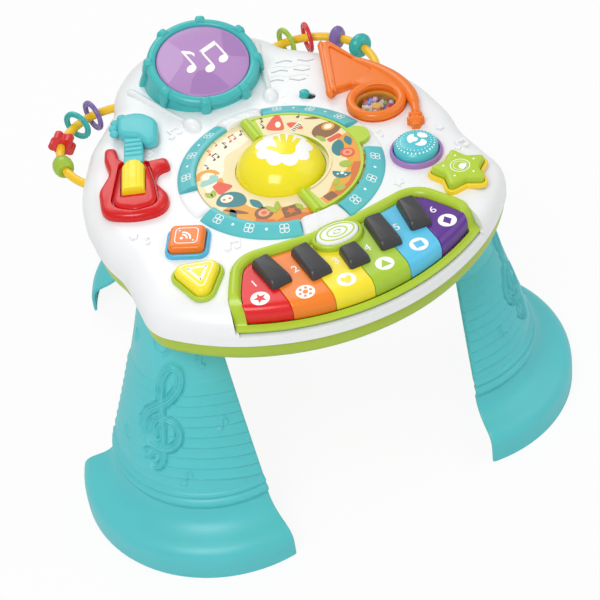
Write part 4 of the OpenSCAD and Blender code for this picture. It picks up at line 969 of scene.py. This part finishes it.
# ------------------------ horn and spinner
def horn():
    at = spot("horn")
    bell = [[-37, 33, 3], [-27, 38, 4], [-8, 37, 6], [4, 16, 6], [30, -8, 4], [37, 14, 30], [31, 42, 70],
            [17, 78, 70], [7, 121, 3.4], [-4, 121, 3.4]]
    o = block("orange_horn_bell", bell, TOP, TOP + 9.4, 3.2, ORANGE, at=at, node="horn_body", smooth=40, steps=6)
    face = arcs([[-29, 41, 3], [-2, 38, 6], [14, 42, 12], [22, 46, 8], [9, 88, 14], [2, 112, 1.6]], 5)
    cut(o, punch(face, TOP + 7.6, TOP + 30, at))
    cut(o, punch(ellipse(22.3, 22.3, 72), TOP - 1, TOP + 30, at))
    lip = [Vector((-38, 30)).lerp(Vector((-1, 125)), i / 30) for i in range(31)]
    rad = [3.6 + 1.0 * (abs(i / 15 - 1) ** 3) for i in range(31)]
    for i, k in ((0, 0.35), (1, 0.75), (29, 0.75), (30, 0.35)):
        rad[i] *= k
    tube("orange_horn_lip", [(p.x, p.y, TOP + 5.2 + 1.2 * abs(i / 15 - 1) ** 2) for i, p in enumerate(lip)], rad,
         ORANGE, sides=24, at=at)
    tube("orange_horn_inner_lip", [(p.x + 5.8, p.y - 1.6, TOP + 7.6) for p in lip[2:-2]], 1.7, ORANGE, sides=16,
         at=at)
    round_bar = arc(26.6, TOP + 4.6, 5.2, 5.2, range(-60, 241, 12))
    revolve("orange_horn_ring", [(22, TOP - 4)] + round_bar[::-1] + [(31.4, TOP)], ORANGE, n=120, at=at,
            smooth=50)
    pipe = smooth_line([(13, 78, TOP + 4), (24, 55, TOP + 4.6), (32, 32, TOP + 5), (35.4, 12, TOP + 5.2),
                        (35.6, -6, TOP + 5), (33, -20, TOP + 4.8), (28.6, -32, TOP + 4.6),
                        (24.5, -41, TOP + 4.4)])
    n = len(pipe)
    tube("orange_horn_pipe", pipe, [3.4 + 3.2 * sin(pi * min(1, 1.25 * i / n)) ** 0.6 + 1.0 for i in range(n)],
         ORANGE, sides=20, at=at)
    mouth = at @ Matrix.Translation((21.5, -45.5, 0)) @ Matrix.Rotation(radians(-27), 4, "Z")
    for i, (w, y0, y1, h) in enumerate(((7.4, -1, 3.4, 8.2), (5.0, -5, 0, 7.2), (9.4, -10, -4.6, 8.6),
                                        (6.6, -12.6, -9, 7.8), (4.6, -17, -11, 7))):
        block("orange_mouthpiece_%d" % (i + 1), rect(w, y0, y1, 2, w * 0.94), TOP, TOP + h, 1.8, ORANGE, at=mouth,
              smooth=44)


def spinner():
    """The cup's own parts are the CAD's; the loose beads lie in two layers between the paddles."""
    for node, mat in (("horn_cup", CUP), ("spinner_dish", CUP), ("spinner_paddles", CREAM),
                      ("spinner_dome", clear("clear_dome_plastic", "#FBFCFF"))):
        paint(node, mat)
    mats = [plastic("bead_plastic_%d" % i, c, 0.16) for i, c in enumerate(
        ["#5B45B5", "#D0307A", "#E2D3F2", "#4A66C8", "#DC4438", "#7FA844", "#EFBBD9"])]
    # distance from the middle, angle in the sector, height over the lower layer
    rows = ((14.6, 36, 0), (15.6, 56, 0), (14.4, 78, 0), (9.4, 50, 0), (9.8, 72, 0), (12.6, 44, 4.6),
            (12.8, 66, 4.7), (10.4, 88, 4.6), (16.4, 86, 4.2))
    x, y = SPOTS["horn"][:2]
    for i in range(3 * len(rows)):
        k, j = divmod(i, len(rows))
        r, a, up = rows[j]
        w = radians(25 + 120 * k + a)
        revolve("spinner_bead_%02d" % i, ball(2.9), mats[(i * 3 + j) % 7], n=20, body="spinner",
                at=place(x + r * cos(w), y + r * sin(w), TOP - 7.5 + up), node=None if i else "spinner_beads")


# ------------------------ buttons and switch
SQUARE = rect(17.5, -17.5, 17.5, 6)
TRIANGLE = [[-22.4, 24.5, 9], [-9.5, -37, 9], [29, 7, 9]]
STAR = [[r * cos(pi / 5 * k), r * sin(pi / 5 * k), q] for k, (r, q) in enumerate([(31, 3.6), (18.5, 5)] * 5)]


def shaped(name, shape, base_mat, cap_mat, r, loops):
    """A button of any outline: its base's rim, its cap rounded by r, and its print."""
    at = spot(name)
    rim = [(0, -4.1), (2.6, -4.0), (3.9, -3.6), (4.7, -2.9), (5.0, -2.1), (4.8, -1.2), (4.2, -0.5), (1.6, -0.5)]
    loft(name + "_rim", stack(shape, 8, rim, TOP), base_mat, at=at, node=name + "_base", high=False, low=False,
         smooth=50)
    z1 = TOP + 12
    turns = [pi / 2 * k / 8 for k in range(9)]
    prof = [(TOP + 1.2, 0)] + [(z1 - r + r * sin(a), (r - r * cos(a)) * 0.8) for a in turns]
    loft(name + "_cap", stack(shape, 8, prof + [(z1 + 0.35, r * 0.8 + 2.4)]), cap_mat, body=name, at=at,
         node=name + "_button", smooth=50)
    decal(name + "_print", loops, PRINT, body=name, at=spot(name, TOP + 12.4), lift=0.08, thick=0.2)


def round_button():
    at = spot("round")
    prof = [(27, 0), (27.1, 2.6), (26.8, 4.2), (26.2, 5.4), (25.2, 6.1), (24.2, 5.9), (23.4, 5), (23.2, 1)]
    revolve("round_rim", [(r, TOP + z) for r, z in prof], PURPLE, n=96, at=at, node="round_base", smooth=50)
    edge = 22.5

    def crown(x, y):
        q = min(1, hypot(x, y) / edge)
        return TOP + 16 - 0.5 * q * q - 5.0 * q ** 7
    prof = [(r, crown(r, 0)) for r in (edge * cos(pi / 2 * i / 22) for i in range(23))]
    revolve("round_cap", [(edge, TOP + 2)] + prof, TEAL_CAP, n=96, body="round", at=at, node="round_button",
            smooth=40)
    dots = [ellipse(w, w, 8, r * cos(2 * pi * k / n), r * sin(2 * pi * k / n))
            for r, n, w in ((19.2, 30, 0.85), (15.6, 26, 0.6)) for k in range(n)]
    globe = [smooth_loop([(-7, 1), (-5, 6), (-1, 8), (2, 6.5), (0, 4), (1, 1), (-1.5, -1), (-4, 0)], 4),
             smooth_loop([(3, 4), (6, 5.4), (8.4, 1), (7, -3), (4, -1.4), (2.6, 1)], 4),
             smooth_loop([(-5, -3), (-1, -3.4), (2.4, -2), (3, -6.4), (-0.5, -8.6), (-4, -6.6)], 4)]
    decal("round_print", dots + moved(globe, 2.5, 0.5, 12, 1.4), PRINT, body="round", at=at, z=crown, lift=0.1,
          thick=0.2, cell=999)


def mode_button():
    prof = [(-6, 0), (6.4, 0), (7.5, 0.3), (8.3, 1.1), (8.8, 2.4), (9.0, 4)]
    loft("white_mode_cap", [(TOP + z, ellipse(22 - d, 14.5 - d, 72)) for z, d in prof], WHITE, body="mode",
         at=spot("mode"), node="mode_button", smooth=50)
    loops = ribbon(ellipse(17.6, 10.6, 60), 1.7, close=True) + ribbon(ellipse(10.2, 6.4), 1.5, close=True)
    arrow = ribbon(arc(0, 0, 3.4, 2.6, range(15, 150, 15)), 1.0)
    arrow.append([(2.2, 1.6), (4.8, 1.2), (3.4, -0.8)])
    decal("mode_print", loops + moved(arrow, 0, 0) + moved(arrow, 0, 0, 180), LIME, body="mode",
          at=spot("mode", TOP + 9), lift=0.1, thick=0.2)


def buttons():
    # wells for the caps to go down into
    wells = [("square", SQUARE), ("triangle", TRIANGLE), ("star", STAR)]
    wells = [punch(arcs(inset(shape, -0.5)), TOP - 5, at=spot(name)) for name, shape in wells]
    cut(bpy.data.objects["white_shell"], *wells, punch(ellipse(23.0, 23.0, 96), TOP - 5, at=spot("round")))
    cut(bpy.data.objects["lime_keyboard_frame"], punch(ellipse(22.5, 15.0, 72), TOP - 3, at=spot("mode")))
    waves = [ellipse(1.7, 1.7, 16, -4.6, -3.8)]
    for r in (5.2, 8.6):
        waves += ribbon(arc(-4.6, -3.8, r, r, range(-8, 99, 9)), 1.9)
    waves += [ellipse(1, 1, 12, 7, -7), ellipse(1, 1, 12, -7.4, 7.4)]
    shaped("square", SQUARE, BLUE, ORANGE, 4.2, ribbon(arcs(rect(11, -11, 11, 4.4), 5), 0.9, close=True) + waves)
    lines = [ribbon(arcs(inset(TRIANGLE, d), 6), w, close=True) for d, w in ((5.6, 0.9), (11, 2.6))]
    shaped("triangle", TRIANGLE, LIME, YELLOW_CAP, 4.6, moved(sum(lines, []), 0.5, 0.5))
    loops = ribbon(ellipse(9.6, 9.6, 40), 0.8, close=True) + ribbon(ellipse(6.6, 6.6, 36), 0.5, close=True) \
        + [ellipse(4.3, 4.3, 28, 1.6, -2.6)]
    loops += [ellipse(1.15, 1.15, 14, 16.5 * cos(2 * pi * k / 5), 16.5 * sin(2 * pi * k / 5)) for k in range(5)]
    shaped("star", STAR, YELLOW_BASE, LIME, 3.4, loops)
    round_button()
    mode_button()


def switch_and_grille():
    paint("power_switch", KNOB)
    knob = [(5.3, 0), (5.4, 3.2), (5.0, 4.6), (4.0, 5.5), (2.4, 5.9), (0.01, 6)]
    revolve("teal_switch_knob", knob, KNOB, n=40, body="switch",
            at=spot("switch", TOP + 0.4) @ Matrix.Translation((-3.1, 0, 0)))
    # A dark sheet down in the switch's slot: painted shade inside it.
    decal("switch_slot_painted_shade", [arcs(rect(8.9, -4.9, 4.9, 4.8), 6)], DARK, at=spot("switch", 262.6))
    # Dark sheets just below the grille's slots: painted shade inside the holes.
    slot_shade = [[(h * 12 - 10 + row * 4 - 4 + x, row * 17 - 18.6 + y) for x, y in
              ((0, -2.4), (20, -2.4), (20, 7.4), (0, 7.4))] for row in range(3) for h in (-1, 1)]
    decal("grille_slot_painted_shade", slot_shade, DARK, at=spot("grille", 260))
    for x, y in LAMPS:
        decal("lamp_lens_%d" % x, [ellipse(1.7, 1.1, 20)], DARK, at=place(x, y, 264.2))
    for row in range(2):
        pts = [(-20 + k * 2.5, -8.5 + row * 17 + 1.6 * sin(radians(k * 38)), 0.1) for k in range(17)]
        tube("grille_rib_%d" % row, pts, 0.8, WHITE, sides=8, at=spot("grille", TOP))


# ------------------------ legs
LEG_TURNS = {"leg_front_left": -145, "leg_front_right": -35, "leg_back": 98}
# radius from the leg's axis and height above the floor: the sole, its roll and the ankle's bead
SOLE = [(149, 0), (149, 10), (148.6, 19), (147.2, 25.5), (144.2, 30.5), (139.6, 34.2), (133.6, 37), (127, 39.6),
        (120.4, 43), (114.8, 47.4), (110.8, 52.6), (108.4, 57.6), (107.4, 61), (108.4, 63.4), (109.4, 66),
        (109.5, 69), (108.4, 71.8), (106.4, 73.4), (105.6, 74.6), (106.6, 76.2), (106.9, 78.4), (106.2, 80.6),
        (104.6, 82), (103.9, 83.4)]
# the stroke of a treble clef, right and down
CLEF = [(465, 800), (470, 828), (500, 850), (530, 848), (554, 815), (557, 760), (552, 680), (546, 580),
        (540, 500), (540, 430), (552, 380), (580, 335), (612, 322), (636, 350), (640, 400), (615, 455),
        (570, 505), (515, 545), (462, 590), (432, 645), (440, 700), (485, 738), (545, 748), (600, 735),
        (636, 695), (640, 645), (612, 605), (560, 592), (512, 612), (495, 650), (515, 688)]


def on_leg(x, y):
    """A point of the clef as arc length and height on the leg."""
    return (x - 545) * 0.205, 226 - (y - 300) * 0.222


def leg_relief(X, Z):
    """Height of the moulded relief over the leg's face: X is the arc length, Z the height."""
    def dist(path, w):
        d = np.full(X.shape, 1e9)
        for (ax, az), (bx, bz), w0, w1 in zip(path, path[1:], w, w[1:]):
            dx, dz = bx - ax, bz - az
            t = np.clip(((X - ax) * dx + (Z - az) * dz) / max(dx * dx + dz * dz, 1e-9), 0, 1)
            d = np.minimum(d, np.hypot(X - ax - t * dx, Z - az - t * dz) - (w0 + (w1 - w0) * t))
        return d

    def step(a, b, x):
        t = np.clip((x - a) / (b - a), 0, 1)
        return t * t * (3 - 2 * t)
    # staff bands: nine soft ledges that wrap round the leg
    q = (Z - 96 - 2.4 * np.sin(X / 26) + 0.0006 * X * X) / 11.6
    k = np.floor(q)
    t = q - k
    ledge = 2.3 * np.minimum(t / 0.06, 1) * (1 - 0.82 * np.clip((t - 0.07) / 0.93, 0, 1))
    band = np.where((k >= 0) & (k < 9), ledge, 0)
    # treble clef: a raised stroke with a rounded edge and a fine rib along its middle
    pts = smooth_line([on_leg(*p) for p in CLEF], 4)
    d = dist(pts, [2.5 + 1.5 * sin(pi * i / len(pts)) ** 2 for i in range(len(pts))])
    x, z = on_leg(470, 800)
    d = np.minimum(d, np.hypot(X - x, Z - z) - 5.4)
    h = band * (1 - step(3.4, 1.4, d)) + 3.0 * step(0.9, -0.9, d) - 1.3 * step(-1.5, -2.1, d) \
        + 1.0 * step(-2.9, -3.5, d)
    h = h - 0.5 * step(2.6, 1.8, d) * step(0.4, 1.0, d)
    # small quavers: place, size, and the side of the flag
    for x, z, s, f in ((-42, 228, 0.8, 1), (40, 222, 0.9, -1), (28, 92, 1.1, 1), (-54, 112, 0.9, -1),
                       (62, 150, 0.9, 1)):
        tip = (x + 0.5 * s * f, z + 15 * s)
        flag = [tip, (x + 5 * s * f, z + 11 * s), (x + 6.4 * s * f, z + 7 * s)]
        e = np.minimum(dist([(x, z), tip], [0.9, 0.9]), dist(flag, [1.1, 1.0, 0.7]))
        e = np.minimum(e, np.hypot((X - x + 2.2 * s * f) / 1.3, Z - z) - 2.6 * s)
        h = h + 1.5 * step(0.5, -0.4, e)
    # oval release button below the tray
    e = np.hypot(X / 9.0, (Z - 245) / 12.0)
    return h + 1.5 * step(0.12, 0.04, np.abs(e - 1)) + 1.2 * step(0.8, 0.68, e)


def legs():
    """Three C-shaped legs, one mesh turned about the leg circle."""
    cols, half_angle, wall = 236, 62, 3.4
    zc = np.linspace(84.2, 265.4, 250)
    cone = np.stack([50 + 55 * (265 - zc) / 189 - 0.9 * np.sin((zc - 84) / 181 * np.pi) * 2, zc], 1)
    prof = np.concatenate([np.array(smooth_line(SOLE, 3)), cone])
    tang = np.gradient(prof, axis=0)
    tang /= np.linalg.norm(tang, axis=1, keepdims=True)
    nor = np.stack([tang[:, 1], -tang[:, 0]], 1)
    phi = np.radians(np.linspace(-half_angle, half_angle, cols + 1))
    R, P = np.meshgrid(prof[:, 0], phi, indexing="ij")
    Z = np.meshgrid(prof[:, 1], phi, indexing="ij")[0]
    H = leg_relief(P * R, Z) * np.clip((Z - 84) / 3, 0, 1)
    edge = np.clip((np.radians(half_angle) - np.abs(P)) * R / 1.6, 0, 1)
    H = H * edge - 1.0 * (1 - np.sqrt(np.clip(1 - (1 - edge) ** 2, 0, 1)))
    faces = []
    for d in (H, -wall):
        r, z = R + d * nor[:, 0:1], Z + d * nor[:, 1:2]
        z[0] = 0
        faces.append(np.stack([r * np.cos(P), r * np.sin(P), z], 2).reshape(-1, 3))
    verts = np.concatenate(faces)
    m, n = R.shape
    idx = np.arange(m * n).reshape(m, n)
    a = np.stack([idx[:-1, :-1], idx[:-1, 1:], idx[1:, 1:], idx[1:, :-1]], 2).reshape(-1, 4)
    strips = [a, a[:, ::-1] + m * n]
    for line, flip in ((idx[:, 0], 1), (idx[:, -1], 0), (idx[0], 0), (idx[-1], 1)):
        s = np.stack([line[:-1], line[1:], line[1:] + m * n, line[:-1] + m * n], 1)
        strips.append(s[:, ::-1] if flip else s)
    faces = np.concatenate(strips).tolist()
    for node, turn in LEG_TURNS.items():
        at = Matrix.Translation((0, LEG_Y, 0)) @ Matrix.Rotation(radians(turn), 4, "Z") \
            @ Matrix.Translation((168, 0, 0))
        M = np.array(at)
        me = bpy.data.meshes.new("teal_" + node)
        me.from_pydata(((verts @ M[:3, :3].T + M[:3, 3]) / 1000).tolist(), [], faces)
        finish("teal_" + node, me, TEAL, 52, "table", node)
        paint(node, TEAL)


# ------------------------ rails and beads
def loose_ring(node, mat, turn, outer):
    """Open ring with a grooved face, at its bead's place and turned from its angle."""
    o = NODES[node]
    p = np.array([tuple(o.matrix_world @ q.co) for q in o.data.vertices]) * 1000
    axis = Vector(np.linalg.svd(p - p.mean(0), full_matrices=False)[2][2])
    axis = Matrix.Rotation(radians(turn), 3, "Z") @ axis
    at = Matrix.Translation((p.min(0) + p.max(0)) / 2) @ axis.to_track_quat("Z", "Y").to_matrix().to_4x4()
    w, t = 6.2, 2.1
    half = [(w / 2, 0.5), (w / 2 - 0.5, 0.9), (w / 2 - 1.3, 1), (1.0, 1), (0.4, 0.6)]
    sec = [(-x, -t * k) for x, k in half] + [(x, -t * k) for x, k in reversed(half)]
    sec += [(x, -z) for x, z in reversed(sec)]
    prof = [(outer - w / 2 + x, z) for x, z in sec]
    revolve("loose_" + node, prof + [prof[0]], mat, body=node + "_body", at=at, node=node, smooth=40)


def rails_and_beads():
    for side in ("left", "right"):
        paint(side + "_rail", RAIL)
    for node, color in (("left_barrel_bead", "lime"), ("left_flower_bead", "red"), ("right_barrel_bead", "purple"),
                        ("right_cuff_bead", "teal")):
        paint(node, BEADS[color])
    for node, turn, outer in (("left_teal_ring", 5, 17.2), ("left_purple_ring", 3, 17.6),
                              ("right_lime_ring", 10, 17.4), ("right_red_ring", 14, 17.6)):
        mat = BEADS[node.split("_")[1]]
        paint(node, mat)
        loose_ring(node, mat, turn, outer)


# ------------------------ stage and light
def camera_mix(t, share, seen, end):
    """Show the camera another shader than the one that lights the object."""
    mix = add(t, "MixShader")
    wire(t, (share, mix.inputs[0]), (seen[0].outputs[0], mix.inputs[1]), (seen[1].outputs[0], mix.inputs[2]),
         (mix.outputs[0], t.nodes[end].inputs[0]))


def stage():
    me = bpy.data.meshes.new("floor")
    me.from_pydata([(-6, -6, 0), (6, -6, 0), (6, 6, 0), (-6, 6, 0)], [], [(0, 1, 2, 3)])
    m, t = material("pale_floor")
    b = t.nodes["Principled BSDF"]
    b.inputs["Base Color"].default_value = (0.9, 0.9, 0.9, 1)
    b.inputs["Roughness"].default_value = 0.9
    share = add(t, "Math", {1: 0.9})
    share.operation = "MULTIPLY"
    wire(t, (add(t, "LightPath").outputs["Is Camera Ray"], share.inputs[0]))
    camera_mix(t, share.outputs[0], (b, add(t, "Emission", {"Strength": 1.0})), "Material Output")
    me.materials.append(m)
    link("floor", me)
    w = bpy.data.worlds.new("world")
    bpy.context.scene.world = w
    w.use_nodes = True
    t = w.node_tree
    white = {"Color": (1, 1, 1, 1)}
    bg = t.nodes["Background"]
    bg.inputs["Color"].default_value = white["Color"]
    bg.inputs["Strength"].default_value = 0.57
    camera_mix(t, add(t, "LightPath").outputs["Is Camera Ray"], (bg, add(t, "Background", white)), "World Output")
    aim = Vector((0, 0, 0.2))
    for name, loc, size, power in (("key_light", (-0.9, -0.9, 1.7), 0.8, 14),
                                   ("fill_light", (1.2, -0.5, 1.3), 1.2, 4.4),
                                   ("back_light", (0.2, 1.4, 1.5), 1.0, 7)):
        lamp = bpy.data.lights.new(name, "AREA")
        lamp.size = size
        lamp.energy = power
        o = link(name, lamp)
        o.location = loc
        o.rotation_euler = (aim - Vector(loc)).to_track_quat("-Z", "Y").to_euler()


shell()
tray()
keyboard_frame()
for make in (key, number_print):
    for k in range(6):
        make(k)
black_keys()
for k in range(4):
    bridge(k)
for side in (-1, 1):
    drumstick(side)
for make in (reliefs, drum, dome, ring, disc_art, page_art, guitar, horn, spinner, buttons, switch_and_grille,
             legs, rails_and_beads, stage):
    make()
paint("battery_cover", TRAY)
paint("key_contacts", DARK)
bpy.context.scene.view_settings.view_transform = "Standard"
